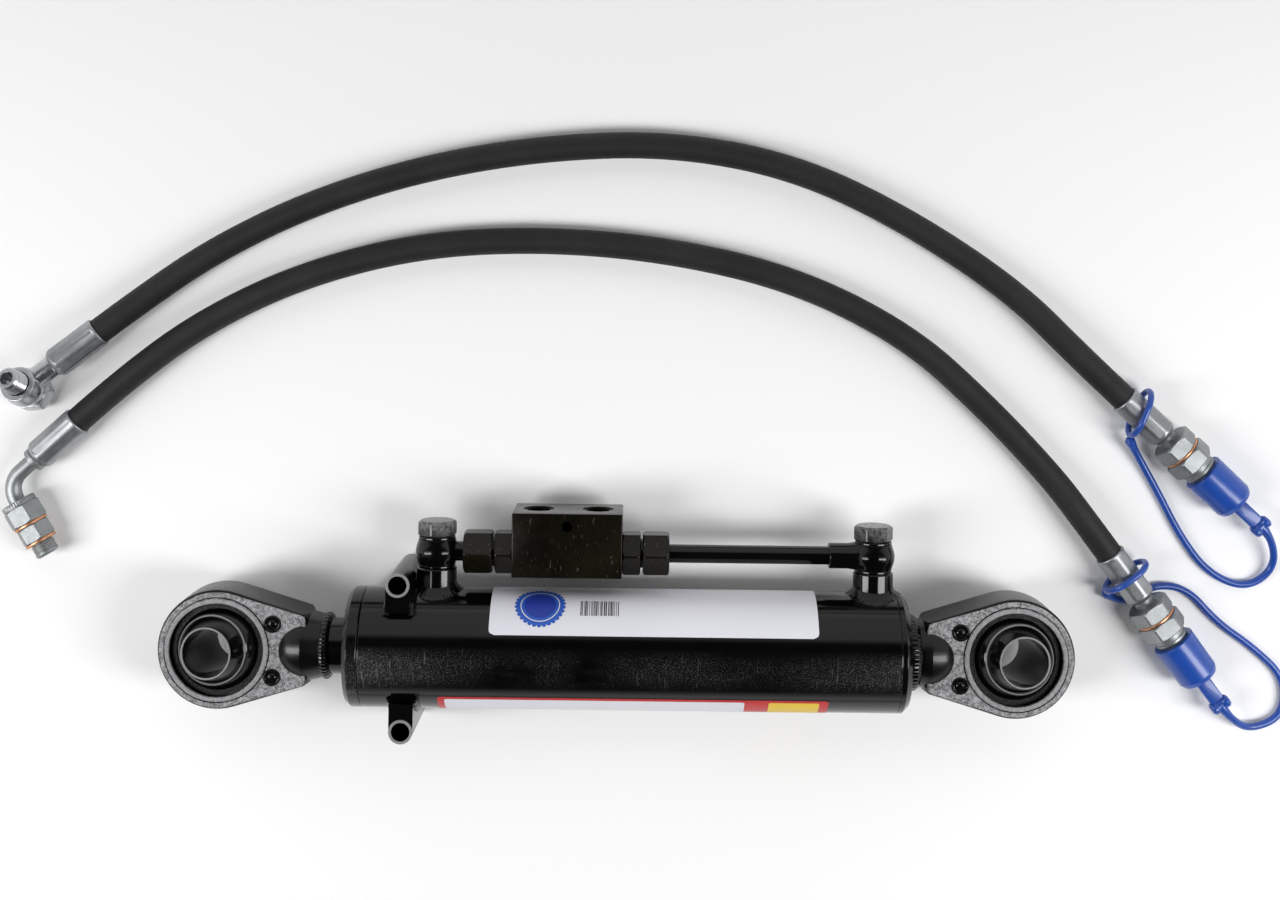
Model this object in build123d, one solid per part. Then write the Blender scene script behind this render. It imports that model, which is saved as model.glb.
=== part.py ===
"""Hydraulic top link for a three-point hitch, with its two hoses lying beside it.

Millimetres. The origin is the centre of the ball in the base eye. The link lies along X with its
rod towards -X, the ports face +Y, and +Z points up from the surface that everything lies on.
"""

import math
import os

from build123d import *

# Ball eyes, the same forging at both ends
EYE_RADIUS = 32.5
EYE_THICKNESS = 28.0
EYE_REACH = 58.5
EYE_TAPER = 17.0
EYE_RECESS_RADIUS = 25.5
EYE_RECESS_DEPTH = 2.5
LIP_WIDTH = 2.7
LIP_HEIGHT = 0.9
MEDALLION_RADIUS = 4.4
MEDALLION_HEIGHT = 0.6
NECK_SWELL = 0.33
WELD_PREP = 2.5
BALL_RADIUS = 25.0
BALL_WIDTH = 51.0
BALL_COLLAR_RADIUS = 16.5
PIN_BORE = 25.7
BALL_TILTS = {"rod_ball": (-6.7, -2.0), "base_ball": (5.0, -3.0)}

# Cylinder
BARREL_RADIUS = 32.5
BARREL_WALL = 7.5
ROD_RADIUS = 15.0
STROKE = 200.0
CAP_FLANGE = 6.0
CAP_SPIGOT = 6.0
END_CHAMFER = 3.0
GLAND_FLANGE = 8.6
GLAND_SPIGOT = 28.0
GLAND_END_GAP = 14.6
PISTON_LENGTH = 26.0
PISTON_SEAT_RADIUS = 11.0
NUT_LENGTH = 12.0
ROD_NUT_FLATS = 30.0
ROD_THREAD_RADIUS = 10.0
ROD_TAIL = 1.5
BASE_GAP = 3.0
ROD_EXPOSED = 12.3
SEAL_DEPTH = 4.0
SEAL_LENGTH = 8.0
WIPER_LENGTH = 6.0
RING_DEPTH = 2.5
RING_LENGTH = 4.0

# Ports and banjo joints
PORT_TO_GLAND = 10.3
PORT_TO_CAP = 6.0
PORT_DRILL_RADIUS = 4.0
BOSS_RADIUS = 11.0
BOSS_HEIGHT = 12.0
BOSS_WELD = 4.0
PORT_THREAD_RADIUS = 6.6
THREAD_DEPTH = 10.0
WASHER_THICKNESS = 1.5
WAIST_DEPTH = 0.9
THREAD_RELIEF = 0.6
BANJO_HEIGHT = 14.0
BANJO_RADIUS = 11.8
BANJO_END_RADIUS = 10.3
BOLT_FLATS = 19.0
BOLT_HEAD = 8.5
BOLT_BORE_RADIUS = 3.0
BOLT_TURNS = {"rod": 18.0, "base": 2.0}

# Line between the ports
LINE_BORE_RADIUS = 3.5
LINE_RADIUS = 5.0
SLEEVE_RADIUS = 7.0
SLEEVE_LENGTH = 14.0
LINE_NUT_FLATS = 22.0
ROD_LINE_NUT = 16.0
BASE_LINE_NUT = 14.6
ADAPTER_HEX = 10.0
NUT_THREAD_RADIUS = 8.0
NUT_THREAD_LENGTH = 10.5
NUT_GAP = 1.2
BANJO_TO_BLOCK = 42.3

# Check valve block
BLOCK_SIZE = (60.0, 35.0, 35.0)
BLOCK_UNDER_LINE = 11.0
PILOT_RADIUS = 5.0
PILOT_LENGTH = 14.0
PILOT_PIN = 1.5
PILOT_GAP = 0.3
SEAT_RADIUS = 3.5
SEAT_PLACE = 13.0
SEAT_WALL = 1.0
CHAMBER_RADIUS = 6.0
POPPET_RADIUS = 5.0
POPPET_STEM = 2.6
POPPET_HEAD = 4.0
SPRING_POCKET_RADIUS = 5.3
SPRING_POCKET = 7.0
SPRING_WIRE = 0.9
SPRING_TURNS = 4
TOP_PORT_SPACING = 32.7
TOP_PORT_DEPTH = 12.6
SPOTFACE_RADIUS = 8.5
TOP_DRILL_RADIUS = 2.0
TOP_DRILL_PLACE = 10.8
FIXING_HOLE_RADIUS = 2.85
FIXING_HOLE_DROP = 7.0

# Holder sleeves on the barrel
HOLDER_RADIUS = 6.5
HOLDER_BORE = 5.0
HOLDER_LENGTH = 56.0
HOLDER_STAND = 6.7
HOLDER_FROM_SEAM = {"upper": 20.6, "lower": 23.1}
SADDLE_WIDTH = 13.0
SADDLE_LENGTH = 54.0
SADDLE_SINK = 8.0

# Hoses
HOSE_RADIUS = 7.5
FERRULE_RADIUS = 8.65
FERRULE_LENGTH = 31.0
NIPPLE_BORE = 3.5
SEAT_GAP = 0.05
COUPLER_AXIS_Z = -20.0

# Route of each hose along its middle, from the elbow end to the coupler end
UPPER_ROUTE = [
    (-512.5, 170.5, -19.8), (-488, 190, -23.2), (-448, 218, -25.0), (-394, 245, -25.0),
    (-329, 266, -25.0), (-260, 278, -25.0), (-190, 281, -25.0), (-121, 269, -25.0),
    (-59, 241, -25.0), (5, 200, -24.6), (43.1, 161.8, -20.0), (67.2, 139.8, -20.0),
]
LOWER_ROUTE = [
    (-524.3, 119.8, -21.5), (-500, 142, -21.5), (-456, 176, -25.0), (-399, 204, -25.0),
    (-331, 222, -25.0), (-259, 226, -25.0), (-187, 220, -25.0), (-117, 204, -25.0),
    (-54, 173, -25.0), (-10, 134, -25.0), (27.5, 94.9, -24.4), (43, 74.3, -20.0),
    (59.9, 51.9, -20.0),
]

# Couplers, stations from the hose end of the ferrule
COUPLER_STATIONS = {"neck": 31.0, "nut": 35.0, "washer": 43.7, "body": 45.2, "collar": 54.2, "nose": 60.2}
COUPLER_NECK_RADIUS = 6.0
COUPLER_NUT_FLATS = 22.0
COUPLER_BODY_FLATS = 23.0
COUPLER_COLLAR_RADIUS = 11.0
COUPLER_NOSE_RADIUS = 8.6
COUPLER_NOSE_LENGTH = 19.8
COUPLER_CHAMBER_RADIUS = 6.0
COUPLER_SEAT_RADIUS = 4.0
COUPLER_SEAT_WALL = 3.0
CAP_RADIUS = 12.1
CAP_LENGTH = 26.5
CAP_WALL = 3.2
CAP_TAB = (15.0, 9.0, 4.0)
KNUCKLE_RADIUS = 6.0
KNUCKLE_THICKNESS = 6.0
COUPLER_WASHER_RADIUS = 11.2

# Elbow fitting on the lower hose
ELBOW_CORNER = 22.6
ELBOW_BEND_RADIUS = 13.0
ELBOW_TUBE_RADIUS = 4.5
ELBOW_COLLAR = (3.0, 7.0)
ELBOW_NUT_START = 11.6
ELBOW_TURN = 79.0
ELBOW_NUT_RIBBED = 3.0
ELBOW_NUT_HEX = 11.0
ELBOW_NUT_FLATS = 19.0
ELBOW_ADAPTER_HEX = 9.5
ELBOW_ADAPTER_FLATS = 17.0
NOZZLE_RADIUS = 6.55
NOZZLE_LENGTH = 8.0

# Banjo fitting on the upper hose
HOSE_BANJO_REACH = 20.0
HOSE_BANJO_RADIUS = 11.0
HOSE_BANJO_HEIGHT = 13.0
HOSE_BANJO_NECK = 6.3
HOSE_BANJO_LEAN = 20.0
HOSE_BOLT_LENGTH = 12.0
HOSE_BOLT_HEAD = 8.0

# Straps of the dust caps
STRAP_RADIUS = 2.1
LOOP_RADIUS = 1.6
LOOP_STATIONS = {"upper": 12.0, "lower": 15.5}
LOOP_HALF = (13.4, 10.75)
LOOP_TURNS = {"upper": -20.0, "lower": 0.0}
UPPER_STRAP = [
    (151.8, 62.6, -20.4), (157.0, 43.5, -28.5), (141.0, 31.0, -30.2), (119.0, 40.0, -30.2),
    (103.0, 61.0, -30.2), (90.0, 86.0, -30.2), (77.6, 106.7, -28.0), (70.5, 117.4, -22.0),
]
LOWER_STRAP = [
    (128.8, -39.5, -20.4), (143.0, -49.0, -28.5), (163.0, -41.5, -30.2), (164.0, -19.5, -30.2),
    (146.0, -2.5, -30.2), (124.5, 12.0, -30.2), (107.5, 31.0, -30.2), (88.5, 33.0, -30.2),
    (76.5, 24.0, -30.2), (66.5, 23.8, -29.6), (58.6, 29.6, -26.5),
]

# Places and sizes of the link, worked out from the sizes above
BORE_RADIUS = BARREL_RADIUS - BARREL_WALL
BOSS_TOP = BARREL_RADIUS + BOSS_HEIGHT
HOLDER_REACH = BARREL_RADIUS + HOLDER_STAND
SADDLE_FOOT = BARREL_RADIUS - SADDLE_SINK
BASE_FACE_X = -EYE_REACH
CHAMBER_BASE_X = BASE_FACE_X - CAP_FLANGE - CAP_SPIGOT
TAIL_X = CHAMBER_BASE_X - BASE_GAP
PISTON_BASE_X = TAIL_X - ROD_TAIL - NUT_LENGTH
PISTON_ROD_X = PISTON_BASE_X - PISTON_LENGTH
GLAND_INNER_X = PISTON_ROD_X - STROKE - GLAND_END_GAP
GLAND_SEAM_X = GLAND_INNER_X - GLAND_SPIGOT
GLAND_FACE_X = GLAND_SEAM_X - GLAND_FLANGE
ROD_WELD_X = GLAND_FACE_X - ROD_EXPOSED
ROD_EYE_X = ROD_WELD_X - EYE_REACH
HOLDER_X = {name: GLAND_SEAM_X + place for name, place in HOLDER_FROM_SEAM.items()}
ROD_PORT_X = GLAND_INNER_X + PORT_TO_GLAND
BASE_PORT_X = CHAMBER_BASE_X - PORT_TO_CAP
LINE_Y = BOSS_TOP + WASHER_THICKNESS + BANJO_HEIGHT / 2
BLOCK_X = ROD_PORT_X + BANJO_TO_BLOCK
BLOCK_MID_X = BLOCK_X + BLOCK_SIZE[0] / 2
BLOCK_TOP_Y = LINE_Y - BLOCK_UNDER_LINE + BLOCK_SIZE[1]

# Lines that turned parts run along; a station is a distance along the line
ALONG_X = Plane(origin=(0, 0, 0), x_dir=(0, 0, 1), z_dir=(1, 0, 0))
LINE_AXIS = Plane(origin=(0, LINE_Y, 0), x_dir=(0, 0, 1), z_dir=(1, 0, 0))


def port_axis(x):
    """The line of a barrel port, whose stations are heights above the middle of the link."""
    return Plane(origin=(x, 0, 0), x_dir=(1, 0, 0), z_dir=(0, 1, 0))


def turned(profile, frame=Plane.XY):
    """Revolve a closed outline of (station, radius) points about the frame's Z axis."""
    outline = Polyline(*[(radius, 0, station) for station, radius in profile], close=True)
    return frame.location * revolve(make_face(outline), Axis.Z)


def bar(frame, start, end, radius):
    return turned([(start, 0), (end, 0), (end, radius), (start, radius)], frame)


def tube(frame, start, end, inner, outer):
    return turned([(start, inner), (end, inner), (end, outer), (start, outer)], frame)


def hexagon(frame, start, end, flats, bevel=0.8, turn=0.0):
    """A hexagonal prism whose corners are turned off at both ends."""
    corner = flats / math.sqrt(3)
    shape = RegularPolygon(flats / 2, 6, major_radius=False, rotation=turn)
    prism = extrude(Plane.XY.offset(start) * shape, end - start)
    low = corner - 1.7 * bevel
    limit = turned([(start, 0), (start, low), (start + bevel, corner), (end - bevel, corner), (end, low), (end, 0)])
    return frame.location * (prism & limit)


def washer(frame, start, inner, outer):
    return tube(frame, start, start + WASHER_THICKNESS, inner, outer)


def coil(frame, start, end, radius, wire):
    """A compression spring between two stations."""
    height = end - start - 2 * wire
    path = Helix(pitch=height / SPRING_TURNS, height=height, radius=radius)
    path = Location((0, 0, start + wire)) * path
    section = Plane(origin=path @ 0, z_dir=path % 0) * Circle(wire / 2)
    return frame.location * sweep(section, path=path, is_frenet=True)


# Eyes and balls


def eye_half_width(distance):
    """Half the width of the tapering sides at a distance from the eye's middle."""
    taper = math.radians(EYE_TAPER)
    return (EYE_RADIUS - distance * math.sin(taper)) / math.cos(taper)


def neck_end_radius():
    """The radius of an eye's neck where its weld preparation starts."""
    return eye_half_width(EYE_REACH - WELD_PREP) + NECK_SWELL


def eye():
    """A forged ball eye at the origin, with its neck running to +X."""
    taper = math.radians(EYE_TAPER)
    half = EYE_THICKNESS / 2
    root = EYE_REACH - 0.18 * EYE_REACH
    touch = (EYE_RADIUS * math.sin(taper), EYE_RADIUS * math.cos(taper))
    side = (root, eye_half_width(root))
    plan = make_face(Polyline(touch, side, (side[0], -side[1]), (touch[0], -touch[1]), close=True))
    plate = extrude(Plane.XY.offset(-half) * (Circle(EYE_RADIUS) + plan), EYE_THICKNESS)
    rims = plate.edges().filter_by(Plane.XY)
    plate = fillet(rims, 2.2)
    # The corners of the plate run out into the round neck
    shoulder = turned([(-60, 0), (-60, 60), (0.62 * EYE_REACH, 46), (root + 2, side[1] - 1.4), (root + 2, 0)], ALONG_X)
    plate = plate & shoulder
    # The neck's round nose rises out of the flat face
    nose_top = (0.79 * EYE_REACH, eye_half_width(0.79 * EYE_REACH) - 0.3)
    neck_end = EYE_REACH - WELD_PREP
    nose = ThreePointArc((0.5 * EYE_REACH, 7), (0.62 * EYE_REACH, 16.4), nose_top)
    rest = Polyline(
        nose_top, (neck_end, neck_end_radius()), (EYE_REACH, ROD_RADIUS), (EYE_REACH, 0),
        (0.5 * EYE_REACH, 0), (0.5 * EYE_REACH, 7),
    )
    neck = Plane.XY.location * revolve(make_face(nose + rest), Axis.X)
    body = plate + neck
    lip_outer = EYE_RECESS_RADIUS + LIP_WIDTH
    crest = half + LIP_HEIGHT
    body += turned([
        (-crest, EYE_RECESS_RADIUS), (-crest, lip_outer - 0.7), (-half, lip_outer),
        (half, lip_outer), (crest, lip_outer - 0.7), (crest, EYE_RECESS_RADIUS),
    ])
    place = (0.505 * EYE_REACH, 0.247 * EYE_REACH)
    for z in (half, -half - MEDALLION_HEIGHT):
        for y in (place[1], -place[1]):
            disc = Cylinder(MEDALLION_RADIUS, MEDALLION_HEIGHT + 0.5) - Cylinder(MEDALLION_RADIUS - 1, 2)
            body += Location((place[0], y, z + (MEDALLION_HEIGHT - math.copysign(0.5, z)) / 2)) * disc
    seat_edge = half - EYE_RECESS_DEPTH
    for sign in (1, -1):
        low, high = sorted((sign * seat_edge, sign * (crest + 1)))
        body -= bar(Plane.XY, low, high, EYE_RECESS_RADIUS)
    return body - Sphere(BALL_RADIUS + SEAT_GAP)


def ball(name):
    """A pin ball at the origin, at the tilt at which it rests."""
    half = BALL_WIDTH / 2
    body = Sphere(BALL_RADIUS) + turned([
        (-half, 0), (-half, BALL_COLLAR_RADIUS - 1), (-half + 1, BALL_COLLAR_RADIUS),
        (half - 1, BALL_COLLAR_RADIUS), (half, BALL_COLLAR_RADIUS - 1), (half, 0),
    ])
    bore = PIN_BORE / 2
    body -= turned([
        (-half - 1, 0), (-half - 1, bore + 1.8), (-half + 0.8, bore), (half - 0.8, bore),
        (half + 1, bore + 1.8), (half + 1, 0),
    ])
    about_y, about_x = BALL_TILTS[name]
    return Rot(Y=about_y) * Rot(X=about_x) * body


def eye_weld(neck_side):
    """The ring of weld where an eye's neck meets what carries it; neck_side is how far it reaches past."""
    neck_end = EYE_REACH - WELD_PREP
    return turned([
        (neck_end, neck_end_radius()), (EYE_REACH, ROD_RADIUS), (EYE_REACH + neck_side, ROD_RADIUS),
        (EYE_REACH + neck_side, ROD_RADIUS + 0.8), (EYE_REACH, neck_end_radius() + 0.7),
        (neck_end - 1.2, eye_half_width(neck_end - 1.2) - 0.2),
    ], ALONG_X)


def base_weld():
    """The wider collar of weld between the base eye's neck and the base cap."""
    neck_end = EYE_REACH - WELD_PREP
    outer = neck_end_radius() + 3.2
    return turned([
        (neck_end, neck_end_radius()), (EYE_REACH, ROD_RADIUS), (EYE_REACH, outer),
        (EYE_REACH - 3, outer - 0.2), (EYE_REACH - 6, outer - 1.4),
        (EYE_REACH - 7, eye_half_width(EYE_REACH - 7) - 0.2),
    ], ALONG_X)


# Cylinder


def barrel_tube():
    body = tube(ALONG_X, GLAND_SEAM_X, BASE_FACE_X - CAP_FLANGE, BORE_RADIUS, BARREL_RADIUS)
    for x in (ROD_PORT_X, BASE_PORT_X):
        body -= bar(port_axis(x), BORE_RADIUS - 5, BARREL_RADIUS + 5, PORT_DRILL_RADIUS)
    return body


def base_cap():
    seam = BASE_FACE_X - CAP_FLANGE
    edge = BARREL_RADIUS - END_CHAMFER
    return turned([
        (CHAMBER_BASE_X, 0), (CHAMBER_BASE_X, BORE_RADIUS - 1), (CHAMBER_BASE_X + 1, BORE_RADIUS - SEAT_GAP),
        (seam, BORE_RADIUS - SEAT_GAP), (seam, BARREL_RADIUS), (BASE_FACE_X - END_CHAMFER, BARREL_RADIUS),
        (BASE_FACE_X - 0.3 * END_CHAMFER, edge + 0.7 * END_CHAMFER), (BASE_FACE_X, edge), (BASE_FACE_X, 0),
    ], ALONG_X)


def rod_seal_x():
    return GLAND_INNER_X - SEAL_LENGTH - 4


def gland_ring_x():
    return GLAND_SEAM_X + 5


def gland_head():
    bore = ROD_RADIUS + SEAT_GAP
    body = turned([
        (GLAND_FACE_X, bore), (GLAND_INNER_X, bore), (GLAND_INNER_X, BORE_RADIUS - 1.5),
        (GLAND_INNER_X - 1.5, BORE_RADIUS - SEAT_GAP), (GLAND_SEAM_X, BORE_RADIUS - SEAT_GAP),
        (GLAND_SEAM_X, BARREL_RADIUS - 0.5), (GLAND_SEAM_X - 0.5, BARREL_RADIUS),
        (GLAND_FACE_X + 2.2, BARREL_RADIUS), (GLAND_FACE_X, BARREL_RADIUS - 1.4),
    ], ALONG_X)
    body -= tube(ALONG_X, rod_seal_x(), rod_seal_x() + SEAL_LENGTH, bore - 1, ROD_RADIUS + SEAL_DEPTH)
    body -= tube(ALONG_X, GLAND_FACE_X - 1, GLAND_FACE_X + WIPER_LENGTH, bore - 1, ROD_RADIUS + SEAL_DEPTH)
    groove = BORE_RADIUS - RING_DEPTH
    return body - tube(ALONG_X, gland_ring_x(), gland_ring_x() + RING_LENGTH, groove, BORE_RADIUS + 1)


def rod_seal():
    outer = ROD_RADIUS + SEAL_DEPTH - SEAT_GAP
    inner = ROD_RADIUS + SEAT_GAP
    start = rod_seal_x() + SEAT_GAP
    return tube(ALONG_X, start, start + SEAL_LENGTH - 2 * SEAT_GAP, inner, outer)


def wiper_ring():
    outer = ROD_RADIUS + SEAL_DEPTH - SEAT_GAP
    inner = ROD_RADIUS + SEAT_GAP
    end = GLAND_FACE_X + WIPER_LENGTH - SEAT_GAP
    lip = GLAND_FACE_X - 0.8
    return turned([
        (end, inner), (end, outer), (GLAND_FACE_X, outer), (GLAND_FACE_X, inner + 2.6),
        (lip, inner + 0.8), (lip, inner),
    ], ALONG_X)


def gland_ring():
    start = gland_ring_x() + SEAT_GAP
    end = gland_ring_x() + RING_LENGTH - SEAT_GAP
    return tube(ALONG_X, start, end, BORE_RADIUS - RING_DEPTH + SEAT_GAP, BORE_RADIUS - SEAT_GAP)


def piston_grooves():
    """Start and length of the seal groove and the two guide ring grooves."""
    middle = (PISTON_ROD_X + PISTON_BASE_X) / 2
    seal = (middle - SEAL_LENGTH / 2, SEAL_LENGTH)
    first = (PISTON_ROD_X + 2, RING_LENGTH)
    last = (PISTON_BASE_X - 2 - RING_LENGTH, RING_LENGTH)
    return seal, [first, last]


def piston():
    bore = PISTON_SEAT_RADIUS + SEAT_GAP / 2
    body = tube(ALONG_X, PISTON_ROD_X, PISTON_BASE_X, bore, BORE_RADIUS - 2 * SEAT_GAP)
    seal, rings = piston_grooves()
    for start, length in [seal] + rings:
        body -= tube(ALONG_X, start, start + length, BORE_RADIUS - RING_DEPTH, BORE_RADIUS + 1)
    return body


def packing(start, length):
    """A ring in a groove of the piston, with room to turn."""
    inner = BORE_RADIUS - RING_DEPTH + SEAT_GAP
    return tube(ALONG_X, start + SEAT_GAP, start + length - SEAT_GAP, inner, BORE_RADIUS - SEAT_GAP)


def piston_seal():
    seal, _ = piston_grooves()
    return packing(*seal)


def piston_guide_rings():
    _, rings = piston_grooves()
    return Compound(children=[packing(*ring) for ring in rings])


def piston_rod():
    return turned([
        (ROD_WELD_X, 0), (ROD_WELD_X, ROD_RADIUS), (PISTON_ROD_X, ROD_RADIUS),
        (PISTON_ROD_X, PISTON_SEAT_RADIUS), (PISTON_BASE_X, PISTON_SEAT_RADIUS),
        (PISTON_BASE_X, ROD_THREAD_RADIUS), (TAIL_X - 1, ROD_THREAD_RADIUS),
        (TAIL_X, ROD_THREAD_RADIUS - 1), (TAIL_X, 0),
    ], ALONG_X)


def piston_nut():
    body = hexagon(ALONG_X, PISTON_BASE_X, PISTON_BASE_X + NUT_LENGTH, ROD_NUT_FLATS, 1.2)
    hole = ROD_THREAD_RADIUS + SEAT_GAP / 2
    return body - bar(ALONG_X, PISTON_BASE_X - 1, PISTON_BASE_X + NUT_LENGTH + 1, hole)


def port_boss(x):
    weld = BOSS_RADIUS + BOSS_WELD
    body = turned([
        (BORE_RADIUS, 0), (BORE_RADIUS, weld), (BARREL_RADIUS - 1.5, weld), (BARREL_RADIUS, weld - 0.8),
        (BARREL_RADIUS + 1.6, BOSS_RADIUS + 1.6), (BARREL_RADIUS + 3.8, BOSS_RADIUS),
        (BOSS_TOP - 0.8, BOSS_RADIUS), (BOSS_TOP, BOSS_RADIUS - 0.8), (BOSS_TOP, 0),
    ], port_axis(x))
    body -= bar(ALONG_X, x - 40, x + 40, BARREL_RADIUS)
    body -= bar(port_axis(x), BORE_RADIUS, BOSS_TOP, PORT_DRILL_RADIUS)
    return body - bar(port_axis(x), BOSS_TOP - THREAD_DEPTH, BOSS_TOP + 1, PORT_THREAD_RADIUS)


# Banjo joints and line


def banjo_ring(frame, start, height, radius, end_radius):
    """The barrel-shaped ring of a banjo joint."""
    end = start + height
    shoulder = 0.06 * height
    bulge = Spline(
        (end_radius, 0, start + shoulder), (radius, 0, (start + end) / 2), (end_radius, 0, end - shoulder)
    )
    ends = Polyline(
        (end_radius, 0, end - shoulder), (end_radius, 0, end), (0, 0, end), (0, 0, start),
        (end_radius, 0, start), (end_radius, 0, start + shoulder),
    )
    return frame.location * revolve(make_face(bulge + ends), Axis.Z)


def banjo(x, side, reach, neck_radius):
    """A banjo fitting on a barrel port, with its neck towards side (1 or -1) along X."""
    start = BOSS_TOP + WASHER_THICKNESS
    body = banjo_ring(port_axis(x), start, BANJO_HEIGHT, BANJO_RADIUS, BANJO_END_RADIUS)
    low, high = sorted((x, x + side * reach))
    body += bar(LINE_AXIS, low, high, neck_radius)
    body -= bar(LINE_AXIS, low if side > 0 else low - 1, high + 1 if side > 0 else high, LINE_BORE_RADIUS)
    body -= bar(port_axis(x), start - 1, start + BANJO_HEIGHT + 1, PORT_THREAD_RADIUS + 0.6)
    return body


def rod_side_banjo():
    return banjo(ROD_PORT_X, 1, BANJO_TO_BLOCK - ADAPTER_HEX - NUT_THREAD_LENGTH, LINE_RADIUS + 0.4)


def base_side_banjo():
    body = banjo(BASE_PORT_X, -1, BANJO_RADIUS - 1 + SLEEVE_LENGTH, SLEEVE_RADIUS)
    mouth = BASE_PORT_X - (BANJO_RADIUS - 1 + SLEEVE_LENGTH)
    return body - bar(LINE_AXIS, mouth - 1, mouth + SLEEVE_LENGTH - 3, LINE_RADIUS + SEAT_GAP / 2)


def banjo_bolt(x, turn):
    """A hollow bolt through a banjo ring into its boss."""
    seat = BOSS_TOP + 2 * WASHER_THICKNESS + BANJO_HEIGHT
    axis = port_axis(x)
    tip = BOSS_TOP - THREAD_DEPTH + 1
    body = hexagon(axis, seat, seat + BOLT_HEAD, BOLT_FLATS, 1.0, turn)
    body += bar(axis, tip, seat + 1, PORT_THREAD_RADIUS - SEAT_GAP)
    body -= bar(axis, tip - 1, LINE_Y + 3.6, BOLT_BORE_RADIUS)
    cross = bar(LINE_AXIS, x - PORT_THREAD_RADIUS - 1, x + PORT_THREAD_RADIUS + 1, 2.0)
    return body - cross


def banjo_bolts():
    pair = [banjo_bolt(ROD_PORT_X, BOLT_TURNS["rod"]), banjo_bolt(BASE_PORT_X, BOLT_TURNS["base"])]
    return Compound(children=pair)


def port_washers():
    """The four sealing washers above and below the banjo rings."""
    rings = []
    for x in (ROD_PORT_X, BASE_PORT_X):
        for start in (BOSS_TOP, BOSS_TOP + WASHER_THICKNESS + BANJO_HEIGHT):
            rings.append(washer(port_axis(x), start, PORT_THREAD_RADIUS + 0.1, BANJO_END_RADIUS - 0.2))
    return Compound(children=rings)


def block_adapter(side):
    """A hexagonal adapter screwed into one end of the valve block; side is 1 or -1 along X."""
    face = BLOCK_MID_X + side * BLOCK_SIZE[0] / 2
    axis = Plane(origin=(face, LINE_Y, 0), x_dir=(0, 0, 1), z_dir=(side, 0, 0))
    body = hexagon(axis, 0, ADAPTER_HEX, LINE_NUT_FLATS, 0.8)
    body += bar(axis, -THREAD_DEPTH, 1, PORT_THREAD_RADIUS - SEAT_GAP)
    body += bar(axis, ADAPTER_HEX - 1, ADAPTER_HEX + NUT_THREAD_LENGTH, NUT_THREAD_RADIUS)
    body -= bar(axis, -THREAD_DEPTH - 1, ADAPTER_HEX + NUT_THREAD_LENGTH + 1, LINE_BORE_RADIUS)
    return body - bar(axis, -THREAD_DEPTH - 1, -THREAD_DEPTH + SPRING_POCKET, SPRING_POCKET_RADIUS)


def union_nut(side, length, pipe_radius):
    """The nut that draws a pipe or neck onto an adapter."""
    face = BLOCK_MID_X + side * BLOCK_SIZE[0] / 2
    axis = Plane(origin=(face, LINE_Y, 0), x_dir=(0, 0, 1), z_dir=(side, 0, 0))
    start = ADAPTER_HEX + NUT_GAP
    body = hexagon(axis, start, start + length, LINE_NUT_FLATS, 1.0)
    thread_end = ADAPTER_HEX + NUT_THREAD_LENGTH
    body -= bar(axis, start - 1, thread_end + SEAT_GAP, NUT_THREAD_RADIUS + SEAT_GAP)
    return body - bar(axis, start - 1, start + length + 1, pipe_radius + SEAT_GAP)


def cross_pipe():
    """The straight pipe from the valve block to the base side banjo."""
    start = BLOCK_X + BLOCK_SIZE[0] + ADAPTER_HEX + NUT_THREAD_LENGTH
    mouth = BASE_PORT_X - (BANJO_RADIUS - 1 + SLEEVE_LENGTH)
    return tube(LINE_AXIS, start, mouth + SLEEVE_LENGTH - 3, LINE_BORE_RADIUS, LINE_RADIUS)


# Check valve


def valve_block():
    length, height, depth = BLOCK_SIZE
    middle_y = BLOCK_TOP_Y - height / 2
    body = Location((BLOCK_MID_X, middle_y, 0)) * Box(length, height, depth)
    body = chamfer(body.edges(), 0.5)
    half = length / 2
    chamber = SEAT_PLACE + SEAT_WALL
    for side in (1, -1):
        axis = Plane(origin=(BLOCK_MID_X, LINE_Y, 0), x_dir=(0, 0, 1), z_dir=(side, 0, 0))
        body -= bar(axis, 0, SEAT_PLACE, PILOT_RADIUS)
        body -= bar(axis, 0, half, SEAT_RADIUS)
        body -= bar(axis, chamber, half, CHAMBER_RADIUS)
        body -= bar(axis, half - THREAD_DEPTH, half + 1, PORT_THREAD_RADIUS)
        top = port_axis(BLOCK_MID_X + side * TOP_PORT_SPACING / 2)
        body -= bar(top, BLOCK_TOP_Y - 0.6, BLOCK_TOP_Y + 1, SPOTFACE_RADIUS)
        body -= bar(top, BLOCK_TOP_Y - TOP_PORT_DEPTH, BLOCK_TOP_Y + 1, PORT_THREAD_RADIUS)
        drill = port_axis(BLOCK_MID_X + side * TOP_DRILL_PLACE)
        body -= bar(drill, LINE_Y, BLOCK_TOP_Y - TOP_PORT_DEPTH + 1, TOP_DRILL_RADIUS)
    hole = Plane(origin=(BLOCK_MID_X, BLOCK_TOP_Y - FIXING_HOLE_DROP, 0))
    return body - bar(hole, -depth, depth, FIXING_HOLE_RADIUS)


def pilot_piston():
    half = PILOT_LENGTH / 2
    tip = half + 1.5
    axis = Plane(origin=(BLOCK_MID_X, LINE_Y, 0), x_dir=(0, 0, 1), z_dir=(1, 0, 0))
    body = bar(axis, -half, half, PILOT_RADIUS - SEAT_GAP)
    return body + bar(axis, -tip, tip, PILOT_PIN)


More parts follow.
